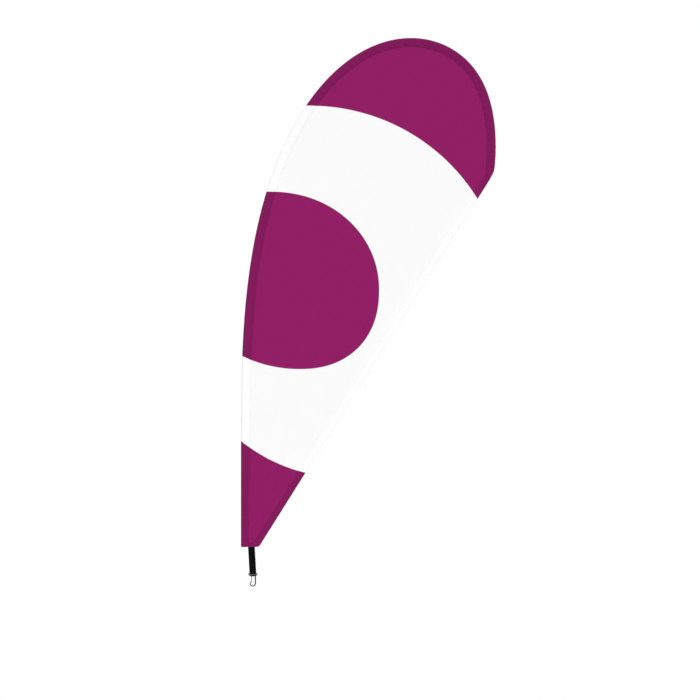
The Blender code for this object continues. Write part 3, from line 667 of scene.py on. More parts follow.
# Small gathers square to the sleeve, strongest near the seam and where the pole bends most
def sleeveGather(s, seamward):
    bend = np.interp(s, poleTable[0], poleTable[4])
    amount = relief["pucker"] * (0.5 + 0.5 * smooth(bend / 3.0)) + relief["gather"] * smooth(bend / 3.4)
    wave = np.sin(s * 2 * np.pi / 0.023 + 2.0 * np.sin(s * 9.0)) + 0.6 * np.sin(s * 2 * np.pi / 0.0371 + 1.1)
    window = smooth((seamward - 0.25) / 0.4) * (1 - smooth((seamward - 0.88) / 0.12))
    return amount * wave * window


# The sleeve's flat side as seen from the front (-1) or the back (+1)
def sleeveSide(s, seamward, side, near, radius, far):
    inward = seamward * (far - near)
    half = sleeveHalf(inward, radius, far - near)
    x, z = onPole(s, near + inward)
    follow = clothDepth(x, z) * smooth((seamward - 0.3) / 0.7)
    return x, side * (half + sleeveGather(s, seamward)) + follow, z


# The sleeve: rings along the pole, each from the seam round the outside and back to the seam.
# Past the tip its outer side is drawn in by the straight edge until it closes.
def sleeveRun():
    length = poleLine["length"]
    end = length + sleeve["nose"]
    s = np.concatenate([np.linspace(-sleeve["drop"], 0.03, 14),
                        np.linspace(0.035, end - 0.03, sleeve["rings"]),
                        np.linspace(end - 0.028, end + 0.055, 60)])
    radius = sleeveRadius(s)
    x0, z0 = onPole(s, 0.0)
    x1, z1 = onPole(s, 1.0)
    start = fromLeech(x0, z0)[0]
    leechAcross = -start / (fromLeech(x1, z1)[0] - start)
    rounded = 0.5 * (leechAcross - radius + np.sqrt((radius + leechAcross) ** 2
                                                    + 4 * sleeve["noseRound"] ** 2))
    near = (rounded + radius) * smooth((s - length + 0.07) / 0.06) - radius
    flatten = smooth((s - length) / (0.4 * sleeve["nose"]))
    radius = radius + flatten * (sleeve["halfFlat"] - radius)
    far = seamAcross(s)
    keep = near < far - 0.0012
    return s[keep], radius[keep], near[keep], far[keep]


def makeSleeve():
    s, radius, near, far = sleeveRun()
    share = np.concatenate([np.linspace(0, 1, 15)[:-1] ** 2 * 0.25, np.linspace(0.25, 1, 19)])
    seamward = np.concatenate([share[::-1], share[1:]])[None]
    side = np.concatenate([np.full(len(share), -1.0), np.full(len(share) - 1, 1.0)])[None]
    column = [line[:, None] for line in (s, near, radius, far)]
    # the mouth's outer corner is rounded up
    lift = sleeve["mouthRound"]
    into = np.clip(seamward * (column[3] - column[1]) / lift, 0, 1)
    raised = lift * (1 - np.sqrt(np.clip(1 - (1 - into) ** 2, 0, 1)))
    sGrid = column[0] + raised * (1 - smooth((column[0] + sleeve["drop"]) / 0.02))
    x, y, z = sleeveSide(sGrid, seamward, side, *column[1:])
    points = np.stack(np.broadcast_arrays(x, y, z), -1)
    rows, cols = points.shape[:2]
    points = np.concatenate([points, np.repeat(points[-1:].mean(1, keepdims=True), cols, 1)])
    piece = addMesh("poleSleeve", points, gridFaces(rows + 1, cols, wrapped=True), cloth)
    cleanMesh(piece, 2e-5)
    faceAlong(piece, lambda at: Vector((0, np.sign(at.y) * (0.1 < at.z < 0.3), 0)))
    modifier(piece, "SOLIDIFY", thickness=sleeve["wall"], offset=-1.0)
    bakeModifiers(piece)
    co = meshPoints(piece)
    # the doubled colour, with its painted shade, fades a little towards the seam, more so near the foot
    line = np.stack(onPole(s, 0.5 * (near + far)), 1)
    closest = nearestRow(co[:, (0, 2)], line)
    mid = np.stack(onPole(s, far), 1)[closest]
    toSeam = np.hypot(co[:, 0] - mid[:, 0], co[:, 2] - mid[:, 1])
    footward = 1 - smooth((s[closest] - 0.05) / 0.5)
    # how far the sleeve's painted shade band eases off near the seam
    doubledShadeFade = (0.30 + 0.35 * footward) * (1 - smooth(toSeam / (0.006 + 0.005 * footward)))
    addPrint(piece, 1 - doubledShadeFade)
    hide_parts("pole_sleeve", "mouth_band", "nose_pocket")
    return piece


# index of the row of line nearest to each point, in slices to keep the table small
def nearestRow(points, line):
    found = np.empty(len(points), int)
    for k in range(0, len(points), 4000):
        gap = points[k:k + 4000, None] - line[None]
        found[k:k + 4000] = (gap ** 2).sum(-1).argmin(1)
    return found


# outline of a flat strip in section, with half-round edges: (across, depth) from one edge
def slabSection(width, thick, across=5, edge=7):
    half = 0.5 * thick
    angle = np.linspace(np.pi / 2, 3 * np.pi / 2, edge)
    mid = np.linspace(half, width - half, across + 2)[1:-1]
    u = np.concatenate([half + half * np.cos(angle), mid, width - half - half * np.cos(angle), mid[::-1]])
    v = np.concatenate([half * np.sin(angle), np.full(across, -half), -half * np.sin(angle),
                        np.full(across, half)])
    return u[None], v[None]


bottomHem = {"height": 0.012, "thick": 0.0022, "corner": 0.0145, "inside": 0.0005}

# length from the lower corner to where its rounding starts: radius * tan(half the turn)
cornerTangent = bottomHem["corner"] * (1 + leechDown[0]) / -leechDown[1]


# height of the bottom edge: level, then up an arc that runs into the straight edge
def bottomRise(x):
    radius = bottomHem["corner"]
    into = np.clip(x - leechLow[0] + cornerTangent, 0, -leechDown[1] * radius)
    return -sleeve["drop"] + radius - np.sqrt(radius ** 2 - into ** 2)


# distance down the straight edge at which a line, so far in from it, meets the bottom or its arc
def leechEnd(inward):
    radius = bottomHem["corner"]
    level = (-sleeve["drop"] - leechTop[1] - leechIn[1] * inward) / leechDown[1]
    depth = np.clip(radius - inward, 0, radius)
    arc = leechLength - cornerTangent + np.sqrt(radius ** 2 - depth ** 2)
    return np.where(inward < radius * (1 + leechDown[0]), arc, level)


# Straight edge's hem: a folded strip down the leech, on the relief
def makeLeechHem():
    u, v = slabSection(leechHem["width"], leechHem["thick"], across=9)
    # its lower end is cut to the bottom hem's rounded edge, and lies just inside it
    t = 0.030 + (leechEnd(u) - bottomHem["inside"] - 0.030) * np.linspace(0, 1, 460)[:, None]
    x = leechTop[0] + leechDown[0] * t + leechIn[0] * u
    z = leechTop[1] + leechDown[1] * t + leechIn[1] * u
    pucker = 0.00018 * np.sin(t * 2 * np.pi / 0.019 + np.sin(t * 31)) * smooth(u / leechHem["width"])
    points = np.stack([x, clothDepth(x, z) + v + pucker, z], -1)
    piece = ringTube("leechHem", points, cloth)
    # most of the doubled colour: the hem band painted darker purple, painted shade as well as its extra ply
    addPrint(piece, 0.85)
    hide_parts("leech_hem")
    return piece


# Bottom hem: a strip from the sleeve's seam to the straight edge, its outer corner rounded
def makeBottomHem():
    low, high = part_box("bottom_hem")
    left, right = low[0] - 0.003, high[0]
    u, v = slabSection(bottomHem["height"], bottomHem["thick"])
    share = np.linspace(0, 1, 46)[:, None]
    x = left + (right + u * leechDown[0] / leechDown[1] - left) * share
    bottom = bottomRise(x)
    z = bottom + u * (1 - (bottom + sleeve["drop"]) / bottomHem["height"])
    piece = ringTube("bottomHem", np.stack([x, clothDepth(x, z) + v, z], -1), cloth)
    # most of the doubled colour: the hem band painted darker purple, painted shade as well as its extra ply
    addPrint(piece, 0.85)
    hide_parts("bottom_hem")
    return piece


# Patch behind the lower corner: a thin sheet laid on the back of the hems
def makeCornerPatch():
    low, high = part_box("hem_patch")
    z = np.linspace(low[2] + 0.0012, high[2], 30)[:, None]
    left = low[0] + 0.0008
    right = leechLow[0] + (z - leechLow[1]) * leechDown[0] / leechDown[1] - 0.0022
    x = left + (right - left) * np.linspace(0, 1, 34)[None]
    z = z + 0 * x
    points = np.stack([x, clothDepth(x, z) + low[1] + 0.0001, z], -1)
    piece = faceAlong(addMesh("cornerPatch", points, gridFaces(30, 34), cloth), lambda at: Vector((0, 1, 0)))
    modifier(piece, "SOLIDIFY", thickness=0.0006, offset=1.0)
    bakeModifiers(piece)
    # the full doubled colour on the patch: its extra ply plus painted shade
    addPrint(piece, 1.0)
    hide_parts("hem_patch")
    return piece


# Stitches: spindles of six sides laid along a line, arched over the cloth and sunk at both ends
stitch = {"pitch": 0.0038, "length": 0.0031, "width": 0.00042, "arch": 0.00030}


def stitchRow(line, outward, pitch=None):
    pitch = pitch or stitch["pitch"]
    line, outward = np.asarray(line, float), np.asarray(outward, float)
    steps = np.linalg.norm(np.diff(line, axis=0), axis=1)
    along = np.concatenate([[0], np.cumsum(steps)])
    at = np.arange(0.5 * pitch, along[-1], pitch)
    spot = np.stack([np.interp(at, along, line[:, k]) for k in range(3)], 1)
    ahead = np.stack([np.interp(at + 1e-4, along, line[:, k]) - np.interp(at - 1e-4, along, line[:, k])
                      for k in range(3)], 1)
    ahead /= np.linalg.norm(ahead, axis=1, keepdims=True)
    up = np.stack([np.interp(at, along, outward[:, k]) for k in range(3)], 1)
    up -= (up * ahead).sum(1, keepdims=True) * ahead
    up /= np.linalg.norm(up, axis=1, keepdims=True)
    side = np.cross(ahead, up)
    t = np.array([-1.0, -0.6, 0.0, 0.6, 1.0])
    bulk = np.sqrt(np.clip(1 - t ** 2, 0, 1))
    angle = np.linspace(0, 2 * np.pi, 6, endpoint=False)
    a = np.repeat(t * 0.5 * stitch["length"] * pitch / stitch["pitch"], 6)
    b = (bulk[:, None] * 0.5 * stitch["width"] * np.cos(angle)).ravel()
    c = (bulk[:, None] * (0.5 * stitch["width"] * np.sin(angle) + stitch["arch"])).ravel() - 0.0001
    local = (spot[:, None] + a[None, :, None] * ahead[:, None] + b[None, :, None] * side[:, None]
             + c[None, :, None] * up[:, None])
    rings = gridFaces(5, 6, wrapped=True)
    faces = rings[None] + (np.arange(len(at)) * 30)[:, None, None]
    return local.reshape(-1, 3), faces.reshape(-1, 4)


def addStitches(name, rows, material, printed=True):
    points, faces, count = [], [], 0
    for spots, quads in rows:
        points.append(spots)
        faces.append(quads + count)
        count += len(spots)
    piece = cleanMesh(addMesh(name, np.concatenate(points), np.concatenate(faces), material), 1e-7)
    if printed:
        co = meshPoints(piece)
        addAttribute(piece, "ink", inkDistance(co[:, 0], co[:, 2]))
    return piece


def flatNormals(count, side):
    return np.tile((0.0, side, 0.0), (count, 1))


# two rows along the sleeve's seam, front and back
def makeSleeveStitches():
    s, radius, near, far = sleeveRun()
    keep = (s > 0.004) & (s < poleLine["length"] + 0.045)
    s, radius, near, far = s[keep], radius[keep], near[keep], far[keep]
    rows = []
    for fromSeam in (0.0022, 0.0064):
        for side in (-1.0, 1.0):
            seamward = 1 - fromSeam / (far - near)
            x, y, z = sleeveSide(s, seamward, side, near, radius, far)
            rows.append(stitchRow(np.stack([x, y, z], 1), flatNormals(len(x), side)))
    return addStitches("sleeveStitches", rows, thread)


# one row round the mouth, on the sleeve's two flat sides
def makeMouthStitches():
    rows = []
    for side in (-1.0, 1.0):
        seamward = np.linspace(0.06, 0.94, 60)
        s = np.full(60, 0.0065)
        radius, far = sleeveRadius(s), seamAcross(s)
        x, y, z = sleeveSide(s, seamward, side, -radius, radius, far)
        spots = np.stack([x, y, z], 1)
        slope = np.gradient(y, x)
        outward = np.stack([-slope * side, np.ones(60), np.zeros(60)], 1) * side
        rows.append(stitchRow(spots, outward))
    return addStitches("mouthStitches", rows, thread)


# rows on the straight hem's inner side, along its rim, and on the bottom hem
def makeHemStitches():
    rows = []
    for inward in (0.0045, 0.0222):
        t = np.linspace(0.034, float(leechEnd(inward)) - 0.008, 900)
        x = leechTop[0] + leechDown[0] * t + leechIn[0] * inward
        z = leechTop[1] + leechDown[1] * t + leechIn[1] * inward
        pucker = 0.00018 * np.sin(t * 2 * np.pi / 0.019 + np.sin(t * 31)) * smooth(inward / leechHem["width"])
        for side in (-1.0, 1.0):
            y = clothDepth(x, z) + pucker + side * 0.5 * leechHem["thick"]
            rows.append(stitchRow(np.stack([x, y, z], 1), flatNormals(len(t), side)))
    low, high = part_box("bottom_hem")
    z = np.full(120, -sleeve["drop"] + bottomHem["height"] - 0.0018)
    x = np.linspace(low[0], high[0] + 0.003, 120)
    y = clothDepth(x, z) - 0.5 * bottomHem["thick"]
    rows.append(stitchRow(np.stack([x, y, z], 1), flatNormals(120, -1.0)))
    return addStitches("hemStitches", rows, thread)


# rows of stitches along straight lines between corners, on a plane of constant depth
def stitchPath(corners, side):
    rows = []
    for start, end in zip(corners[:-1], corners[1:]):
        line = np.linspace(start, end, 30)
        rows.append(stitchRow(line, flatNormals(30, side), 0.0026))
    return rows


# Strap: webbing that hangs from behind the corner, goes round the hook's bar and back up
tabLow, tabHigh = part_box("strap_tab")
hinge, bar, pivot = jointAt["strap_swing"], jointAt["hook_swing"], jointAt["gate_pivot"]
strap = {"width": tabHigh[0] - tabLow[0], "ply": 0.0013, "middle": 0.5 * (tabLow[0] + tabHigh[0]),
         "depth": 0.5 * (tabLow[1] + tabHigh[1]), "top": tabHigh[2], "round": 0.00225,
         "neck": 0.013, "back": 0.034, "plyStep": 0.00135, "blend": (-0.0042, -0.0165)}


# middle line of the webbing in depth and height: down the front, half a turn, up the back
def strapLine():
    front = np.linspace(strap["top"], bar[2], 150)
    y1 = strap["depth"] - strap["round"] * smooth(1 - (front - bar[2]) / strap["neck"])
    angle = np.linspace(0, np.pi, 26)[1:-1]
    y2 = strap["depth"] - strap["round"] * np.cos(angle)
    z2 = bar[2] - strap["round"] * np.sin(angle)
    back = np.linspace(bar[2], bar[2] + strap["back"], 46)
    lift = strap["round"] - strap["plyStep"]
    y3 = strap["depth"] + strap["plyStep"] + lift * smooth(1 - (back - bar[2]) / strap["neck"])
    return np.concatenate([y1, y2, y3]), np.concatenate([front, z2, back])


# the strap's middle moves sideways with its depth below the hem
def strapMiddle(z):
    fall = np.clip((hinge[2] - z) / (hinge[2] - bar[2]), 0, 1)
    return strap["middle"] + (bar[0] - strap["middle"]) * fall


def makeStrap():
    y, z = strapLine()
    along = np.concatenate([[0], np.cumsum(np.hypot(np.diff(y), np.diff(z)))])
    way = np.stack([np.gradient(y), np.gradient(z)], 1)
    way /= np.linalg.norm(way, axis=1, keepdims=True)
    u, v = slabSection(strap["width"], strap["ply"], across=21)
    u = u - 0.5 * strap["width"]
    ribs = 0.00005 * np.cos(u * 2 * np.pi / 0.0028) * np.sign(v)
    picks = 0.00003 * np.sin(along[:, None] * 2 * np.pi / 0.0031) * np.sign(v)
    thick = v + ribs + picks
    x = strapMiddle(z)[:, None] + u
    points = np.stack([x + 0 * thick, y[:, None] - way[:, 1:] * thick, z[:, None] + way[:, :1] * thick], -1)
    uv = np.stack([u + 0 * along[:, None], along[:, None] + 0 * u], -1)
    piece = ringTube("hangingStrap", points, webbing, uv)
    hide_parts("strap_tab", "hook_strap")
    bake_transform(piece)
    return piece


# the folded end's box and cross, through both plies, front and back
def makeStrapStitches():
    rows = []
    low, high = bar[2] + 0.0145, bar[2] + 0.0315
    middle = float(strapMiddle(0.5 * (low + high)))
    wide = 0.5 * strap["width"] - 0.0035
    for side, depth in ((-1.0, strap["depth"] - 0.5 * strap["ply"]),
                        (1.0, strap["depth"] + strap["plyStep"] + 0.5 * strap["ply"])):
        a, b = (middle - wide, depth, low), (middle + wide, depth, low)
        c, d = (middle + wide, depth, high), (middle - wide, depth, high)
        rows += stitchPath([a, b, c, d, a, c], side) + stitchPath([d, b], side)
    return addStitches("strapStitches", rows, blackThread, printed=False)


# the tab's box and cross behind the corner, and the same thread on its front
def makeTabStitches():
    rows = []
    low, high = -0.0015, strap["top"] - 0.0030
    wide = 0.5 * strap["width"] - 0.0030
    left, right = strap["middle"] - wide, strap["middle"] + wide
    depth = strap["depth"] + 0.5 * strap["ply"]
    a, b, c, d = (left, depth, low), (right, depth, low), (right, depth, high), (left, depth, high)
    rows += stitchPath([a, b, c, d, a, c], 1.0) + stitchPath([d, b], 1.0)
    piece = addStitches("tabStitches", rows, blackThread, printed=False)
    front = []
    corners = [(left, low), (right, low), (right, high), (left, high), (left, low), (right, high)]
    for pair in (*zip(corners[:-1], corners[1:]), ((left, high), (right, low))):
        line = np.linspace(pair[0], pair[1], 40)
        x, z = line[:, 0], line[:, 1]
        inward = fromLeech(x, z)[0]
        hemmed = (inward < leechHem["width"]) | (z < bottomHem["height"] - sleeve["drop"])
        half = np.where(z < bottomHem["height"] - sleeve["drop"], 0.5 * bottomHem["thick"],
                        np.where(hemmed, 0.5 * leechHem["thick"], 0.5 * panel["thick"]))
        y = clothDepth(x, z) - half
        front.append(stitchRow(np.stack([x, y, z], 1), flatNormals(40, -1.0), 0.0026))
    return piece, addStitches("cornerStitches", front, thread)


panelPiece = makePanel()
sleevePiece = makeSleeve()
hemPiece, bottomPiece, patchPiece = makeLeechHem(), makeBottomHem(), makeCornerPatch()
print("stage: cloth pieces ready")
sleeveThread, mouthThread, hemThread = makeSleeveStitches(), makeMouthStitches(), makeHemStitches()
strapPiece = makeStrap()
strapThread = makeStrapStitches()
tabThread, cornerThread = makeTabStitches()
print("stage: strap and stitches ready")

# Hook: across and up are from the middle of its bar
hookShape = {"eyeWidth": 0.0328, "bar": 0.0013, "shoulder": 0.0078, "length": 0.0482, "bow": 0.0093,
             "width": 0.0045, "depth": 0.0052, "cheek": 0.0009, "gateWidth": 0.0028, "gateLength": 0.0248,
             "pin": 0.0007, "turnGap": 0.0002, "headDepth": 0.0017, "voxel": 0.00034, "taper": 0.22, "nose": 0.69}


# a bar along a path: rounded square sections, square to the path
def barRings(spots, normals, widths, depth, count=24, power=3.4):
    angle = np.linspace(0, 2 * np.pi, count, endpoint=False)
    ca, sa = np.cos(angle), np.sin(angle)
    a = np.sign(ca) * np.abs(ca) ** (2 / power)
    b = np.sign(sa) * np.abs(sa) ** (2 / power)
    spots, normals = np.asarray(spots, float), np.asarray(normals, float)
    half = 0.5 * np.broadcast_to(widths, len(spots))[:, None]
    deep = 0.5 * np.broadcast_to(depth, len(spots))[:, None]
    x = bar[0] + spots[:, :1] + normals[:, :1] * half * a
    y = bar[1] + deep * b
    z = bar[2] + spots[:, 1:] + normals[:, 1:] * half * a
    return np.stack([x, y, z], -1)


# spine, bow and nose: an arc with a straight run into it and a tangent lift at its end
def bowPath():
    h = hookShape
    centre = np.array([-0.0004, -h["length"] + h["bow"] + 0.5 * h["width"]])
    t = np.linspace(0, 1, 60)
    turn = -np.radians(195) * t
    normal = np.stack([np.cos(turn), np.sin(turn)], 1)
    arc = centre + h["bow"] * normal
    spineTop = -0.55 * h["shoulder"]
    rise = np.linspace(spineTop, centre[1], 24)[:-1]
    spine = np.stack([np.full(len(rise), centre[0] + h["bow"]), rise], 1)
    lift = np.linspace(0, 1, 9)[1:, None] * np.array([0.0032 * 0.55, 0.0032])
    nose = arc[-1] + lift
    noseNormal = np.tile((-np.cos(np.radians(30)), np.sin(np.radians(30))), (len(lift), 1))
    spots = np.concatenate([spine, arc, nose])
    normals = np.concatenate([np.tile((1.0, 0.0), (len(spine), 1)), normal, noseNormal])
    # the bow thins evenly to its nose
    thinned = [np.ones(len(spine)), 1 - h["taper"] * t, np.linspace(1 - h["taper"], h["nose"], len(lift))]
    wide = h["width"] * np.concatenate(thinned)
    return spots, normals, wide


# the eye's round bar with its two arms, as one bent rod
def eyePath():
    h = hookShape
    side, bend = 0.5 * h["eyeWidth"] - h["bar"], 1.6 * h["bar"]
    foot = -h["bar"] - 0.0034
    c = np.linspace(0, 0.5 * np.pi, 12)
    left = np.stack([-side + bend - bend * np.cos(c), -bend + bend * np.sin(c)], 1)
    spots = np.concatenate([[(-side, foot)], left, left[::-1] * (-1, 1), [(side, foot)]])
    turn = np.concatenate([[0], c, np.pi - c[::-1], [np.pi]])
    return spots, np.stack([-np.cos(turn), np.sin(turn)], 1)


def makeHookBody():
    h = hookShape
    spots, normals, wide = bowPath()
    bow = ringTube("hookBody", barRings(spots, normals, wide, 0.8 * h["depth"]), alloy)
    top = -h["bar"] - 0.0006 - 0.0014
    up = np.array([top, top - 0.0004, top - 0.0022, top - 0.0045, top - 0.0066, top - h["shoulder"]])
    left = np.array([-0.0159, -0.0164, -0.0164, -0.0130, -0.0106, -0.0098])
    right = np.array([0.0159, 0.0164, 0.0164, 0.0138, 0.0117, 0.0109])
    yoke = ringTube("yoke", barRings(np.stack([0.5 * (left + right), up], 1), np.tile((1.0, 0.0), (6, 1)),
                                     right - left, h["depth"], count=48, power=5.0), alloy)
    spots, normals = eyePath()
    eye = ringTube("eye", barRings(spots, normals, 2 * h["bar"], 2 * h["bar"], power=2.0), alloy)
    merged = bmesh.new()
    for part in (bow, yoke, eye):
        merged.from_mesh(part.data)
    merged.to_mesh(bow.data)
    merged.free()
    dropPiece(yoke)
    dropPiece(eye)
    modifier(bow, "REMESH", mode="VOXEL", voxel_size=h["voxel"], use_smooth_shade=True)
    modifier(bow, "SMOOTH", factor=0.5, iterations=5)
    bakeModifiers(bow)
    half = 0.5 * h["depth"] - h["cheek"]
    gateAcross, gateUp = pivot[0] - bar[0], pivot[2] - bar[2]
    slotUp = np.array([gateUp - 0.0060, gateUp + 0.5 * h["gateWidth"] + 0.0011])
    slot = ringTube("slotCutter", barRings(np.stack([np.full(2, gateAcross), slotUp], 1),
                                           np.tile((1.0, 0.0), (2, 1)), h["gateWidth"] + 0.0036, 2 * half,
                                           count=32, power=9.0), alloy)
    hole = turned("holeCutter", [(0, -0.006), (h["pin"] + h["turnGap"], -0.006),
                                 (h["pin"] + h["turnGap"], 0.006), (0, 0.006)],
                  (pivot[0], bar[1], pivot[2]), alloy, 32, "y")
    for cutter in (slot, hole):
        modifier(bow, "BOOLEAN", operation="DIFFERENCE", object=cutter, solver="EXACT")
    bakeModifiers(bow)
    dropPiece(slot)
    dropPiece(hole)
    cleanMesh(bow, 1e-6)
    bow.data.materials.clear()
    bow.data.materials.append(alloy)
    softEdges(bow, 40)
    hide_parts("hook_body")
    return bow


# smooth shading with the creases above an angle kept sharp
def softEdges(piece, degrees):
    piece.data.set_sharp_from_angle(angle=np.radians(degrees))


# Gate: a rounded head on the pin and a tapering bar down to the nose
def makeGate():
    h = hookShape
    front = bar[1] - 0.5 * h["depth"] + h["cheek"] + 0.0003
    middle = front + 0.5 * h["headDepth"]
    rim = 0.5 * h["gateWidth"] + 0.0006
    up = np.concatenate([np.linspace(-0.0010, -h["gateLength"] + 0.0010, 30), [-h["gateLength"] + 0.0003,
                                                                             -h["gateLength"]]])
    tip = -h["gateLength"]
    wide = h["gateWidth"] * np.interp(up, [tip, tip + 0.0006, tip + 0.0030, tip + 0.0060, -0.003, 0],
                                      [0.85, 1.0, 1.04, 0.84, 1.0, 1.1])
    rings = barRings(np.stack([np.zeros(len(up)), up], 1), np.tile((1.0, 0.0), (len(up), 1)), wide,
                     h["headDepth"], power=4.0) + (pivot[0] - bar[0], middle - bar[1], pivot[2] - bar[2])
    tongue = ringTube("hookGate", rings, alloy)
    deep = 0.5 * h["headDepth"]
    head = turned("head", [(0, -deep), (rim - 0.0002, -deep), (rim, -deep + 0.0002), (rim, deep - 0.0002),
                           (rim - 0.0002, deep), (0, deep)], (pivot[0], middle, pivot[2]), alloy, 48, "y")
    merged = bmesh.new()
    for part in (tongue, head):
        merged.from_mesh(part.data)
    merged.to_mesh(tongue.data)
    merged.free()
    dropPiece(head)
    modifier(tongue, "REMESH", mode="VOXEL", voxel_size=0.00015, use_smooth_shade=True)
    modifier(tongue, "SMOOTH", factor=0.5, iterations=4)
    bakeModifiers(tongue)
    bore = turned("boreCutter", [(0, -0.004), (h["pin"] + h["turnGap"], -0.004),
                                 (h["pin"] + h["turnGap"], 0.004), (0, 0.004)],
                  (pivot[0], middle, pivot[2]), alloy, 32, "y")
    modifier(tongue, "BOOLEAN", operation="DIFFERENCE", object=bore, solver="EXACT")
    bakeModifiers(tongue)
    dropPiece(bore)
    cleanMesh(tongue, 1e-6)
    tongue.data.materials.clear()
    tongue.data.materials.append(alloy)
    softEdges(tongue, 40)
    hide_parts("hook_gate")
    return tongue


# Pin: a riveted rod through the cheeks, its ends domed
def makePin():
    half, radius = 0.5 * hookShape["depth"], hookShape["pin"]
    profile = [(0, -half - 0.00022), (0.0005, -half - 0.00018), (0.00072, -half - 0.00004), (radius, -half),
               (radius, half), (0.00072, half + 0.00004), (0.0005, half + 0.00018), (0, half + 0.00022)]
    piece = turned("gatePin", profile, (pivot[0], bar[1], pivot[2]), steel, 40, "y")
    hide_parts("gate_pin")
    return piece


# Spring: a wire coiled round the pin behind the gate's head, with a leg down the gate
spring = {"wire": 0.00025, "turns": 2.25, "leg": 0.0050, "foot": 0.0018}


def makeSpring():
    h = hookShape
    wire = spring["wire"]
    start = -0.5 * h["depth"] + h["cheek"] + 0.0003 + h["headDepth"] + 0.0003 + wire
    room = 0.5 * h["depth"] - h["cheek"] - 0.0003 - wire - start
    radius = h["pin"] + h["turnGap"] + 2 * wire
    turn = np.linspace(0, 2 * np.pi * spring["turns"], 110)
    coil = np.stack([radius * np.cos(turn), start + room * turn / turn[-1], radius * np.sin(turn)], 1)
    leg = np.stack([np.full(16, radius), np.full(16, start), np.linspace(-spring["leg"], -0.0002, 16)], 1)
    foot = np.stack([coil[-1, 0] - np.linspace(0.0002, spring["foot"], 8), np.full(8, coil[-1, 1]),
                     np.full(8, coil[-1, 2])], 1)
    path = np.concatenate([leg, coil, foot])
    way = np.gradient(path, axis=0)
    way /= np.linalg.norm(way, axis=1, keepdims=True)
    side = np.cross(way, (0.0, 1.0, 0.0))
    side /= np.linalg.norm(side, axis=1, keepdims=True)
    up = np.cross(side, way)
    angle = np.linspace(0, 2 * np.pi, 10, endpoint=False)[None, :, None]
    rings = path[:, None] + wire * (np.cos(angle) * side[:, None] + np.sin(angle) * up[:, None])
    piece = ringTube("gateSpring", rings + (pivot[0], bar[1], pivot[2]), steel)
    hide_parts("gate_spring")
    return piece


hookPiece, gatePiece, pinPiece, springPiece = makeHookBody(), makeGate(), makePin(), makeSpring()
print("stage: hook ready")

# Foot of the pole: drawn tube with eased ends, and the bush with its flange and ground-spigot bore
foot = {"radius": 0.0080, "wall": 0.0015, "ease": 0.0004, "bushBore": 0.0048}


def makeFoot():
    low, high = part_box("base_tube")
    outer, inner, ease = foot["radius"], foot["radius"] - foot["wall"], foot["ease"]
    rise = np.linspace(low[2] + ease, high[2] - ease, 40)
    profile = [(inner, z) for z in rise[::-1]] + [(inner + ease, low[2]), (outer - ease, low[2])]
    profile += [(outer, z) for z in rise] + [(outer - ease, high[2]), (inner + ease, high[2])]
    profile += [(inner, rise[-1])]
    tube = softened(turned("footTube", profile, (0, 0, 0), aluminium, 96))
    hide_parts("base_tube")
    low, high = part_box("base_bush")
    bore, flange, plug = foot["bushBore"], low[2] + 0.0025, inner - 0.0001
    rim = 0.5 * (high[0] - low[0])
    ribs = np.linspace(flange + 0.004, high[2] - 0.003, 6)
    profile = [(bore, high[2] - 0.0004), (bore, low[2] + 0.0010), (bore + 0.0008, low[2]),
               (rim - 0.0006, low[2]), (rim, low[2] + 0.0006), (rim, flange - 0.0004),
               (rim - 0.0004, flange), (plug, flange)]
    for z in ribs:
        profile += [(plug - 0.0003, z - 0.0008), (plug, z - 0.0002),
                    (plug, z + 0.0002), (plug - 0.0003, z + 0.0008)]
    profile += [(plug - 0.0006, high[2]), (bore + 0.0004, high[2]), (bore, high[2] - 0.0004)]
    bush = softened(turned("footBush", profile, (0, 0, 0), plastic, 96))
    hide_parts("base_bush")
    return tube, bush


def softened(piece):
    softEdges(piece, 30)
    return piece


tubePiece, bushPiece = makeFoot()

# Hidden pole parts keep their solids and take the finishes
finishes = {"seat_collar": aluminium, "pole_lower": fibreRod, "pole_middle": fibreRod, "pole_upper": fibreRod,
            "pole_tip": fibreRod, "ferrule_lower": aluminium, "ferrule_middle": aluminium,
            "ferrule_upper": aluminium, "tip_cap": plastic}
for name, finish in finishes.items():
    node = bpy.data.objects[name]
    if not node.material_slots:
        node.data.materials.append(finish)
    for holder in node.material_slots:
        holder.material = finish
print("stage: pole ready")

# Camera, light and floor
stage = {"centre": (0.3859, 0.7070), "span": 2.534, "lens": 120.0, "floor": -0.32, "around": 0.54,
         "key": (1.29, -14, 35, 30), "fill": (0.82, 45, 15, 50)}


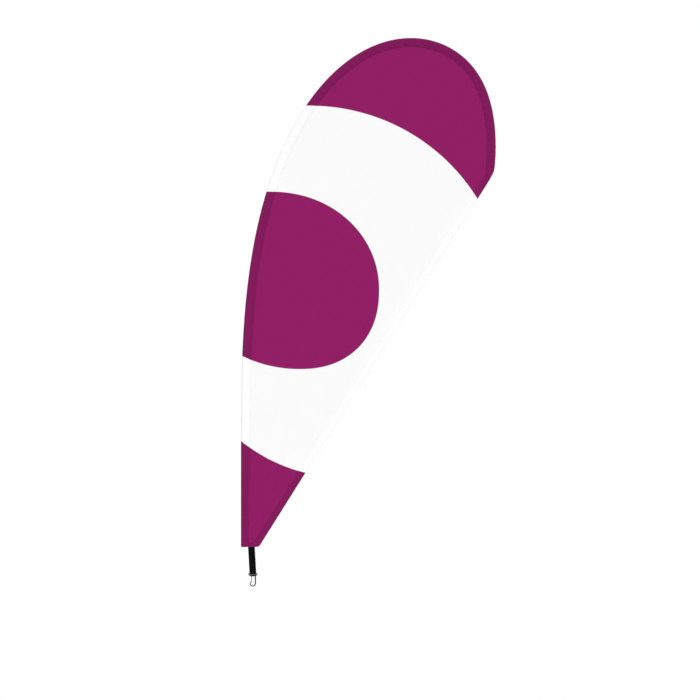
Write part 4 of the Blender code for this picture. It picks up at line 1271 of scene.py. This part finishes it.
def makeStage():
    camera = bpy.data.cameras.new("camera")
    camera.lens = stage["lens"]
    camera.clip_end = 60
    eye = bpy.data.objects.new("camera", camera)
    away = stage["span"] * stage["lens"] / camera.sensor_width
    eye.location = (stage["centre"][0], -away, stage["centre"][1])
    eye.rotation_euler = (np.pi / 2, 0, 0)
    bpy.context.collection.objects.link(eye)
    bpy.context.scene.camera = eye
    bpy.context.scene.view_settings.view_transform = "Standard"
    # white room: bright behind the object, dimmer as a light
    world = bpy.data.worlds.new("softRoom")
    world.use_nodes = True
    tree = world.node_tree
    shown = tree.nodes["Background"]
    shown.inputs["Color"].default_value = (1, 1, 1, 1)
    around = tree.nodes.new("ShaderNodeBackground")
    around.inputs["Color"].default_value = (1, 1, 1, 1)
    around.inputs["Strength"].default_value = stage["around"]
    choose = tree.nodes.new("ShaderNodeMixShader")
    put(tree, tree.nodes.new("ShaderNodeLightPath").outputs["Is Camera Ray"], choose.inputs[0])
    tree.links.new(around.outputs[0], choose.inputs[1])
    tree.links.new(shown.outputs[0], choose.inputs[2])
    tree.links.new(choose.outputs[0], tree.nodes["World Output"].inputs[0])
    bpy.context.scene.world = world
    for name in ("key", "fill"):
        power, azimuth, height, spread = stage[name]
        lamp = bpy.data.lights.new(name, "SUN")
        lamp.energy = power
        lamp.angle = np.radians(spread)
        piece = bpy.data.objects.new(name, lamp)
        a, h = np.radians(azimuth), np.radians(height)
        towards = Vector((np.sin(a) * np.cos(h), -np.cos(a) * np.cos(h), np.sin(h)))
        piece.rotation_euler = towards.to_track_quat("Z", "Y").to_euler()
        bpy.context.collection.objects.link(piece)
    paper, tree, shader = newMaterial("palePaper", 0.9)
    grain = useGroup(tree, mottleGroup, Vector=coords(tree), Broad=0.6, Fine=30.0, Amount=0.02)
    put(tree, greyNode(tree, mathNode(tree, "MULTIPLY", grain, 0.92)), shader.inputs["Base Color"])
    lit = tree.nodes.new("ShaderNodeEmission")      # a light table: it throws no shadow back
    put(tree, greyNode(tree, mathNode(tree, "MINIMUM", grain, 1.0)), lit.inputs["Color"])
    choose = tree.nodes.new("ShaderNodeMixShader")
    put(tree, tree.nodes.new("ShaderNodeLightPath").outputs["Is Camera Ray"], choose.inputs[0])
    tree.links.new(shader.outputs[0], choose.inputs[1])
    tree.links.new(lit.outputs[0], choose.inputs[2])
    tree.links.new(choose.outputs[0], tree.nodes["Material Output"].inputs[0])
    side = np.linspace(-16, 16, 8)
    gx, gy = np.meshgrid(side, side, indexing="ij")
    floor = addMesh("paleFloor", np.stack([gx, gy, np.full_like(gx, stage["floor"])], -1),
                    gridFaces(8, 8), paper)
    faceAlong(floor, lambda at: Vector((0, 0, 1)))


makeStage()

rides = {"flag": (panelPiece, sleevePiece, hemPiece, bottomPiece, patchPiece, sleeveThread, mouthThread,
                  hemThread, tabThread, cornerThread),
         "strap": (strapThread,), "hook": (hookPiece, pinPiece, springPiece), "gate": (gatePiece,),
         "pole_foot": (tubePiece, bushPiece)}
for body, pieces in rides.items():
    for piece in pieces:
        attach(piece, body)
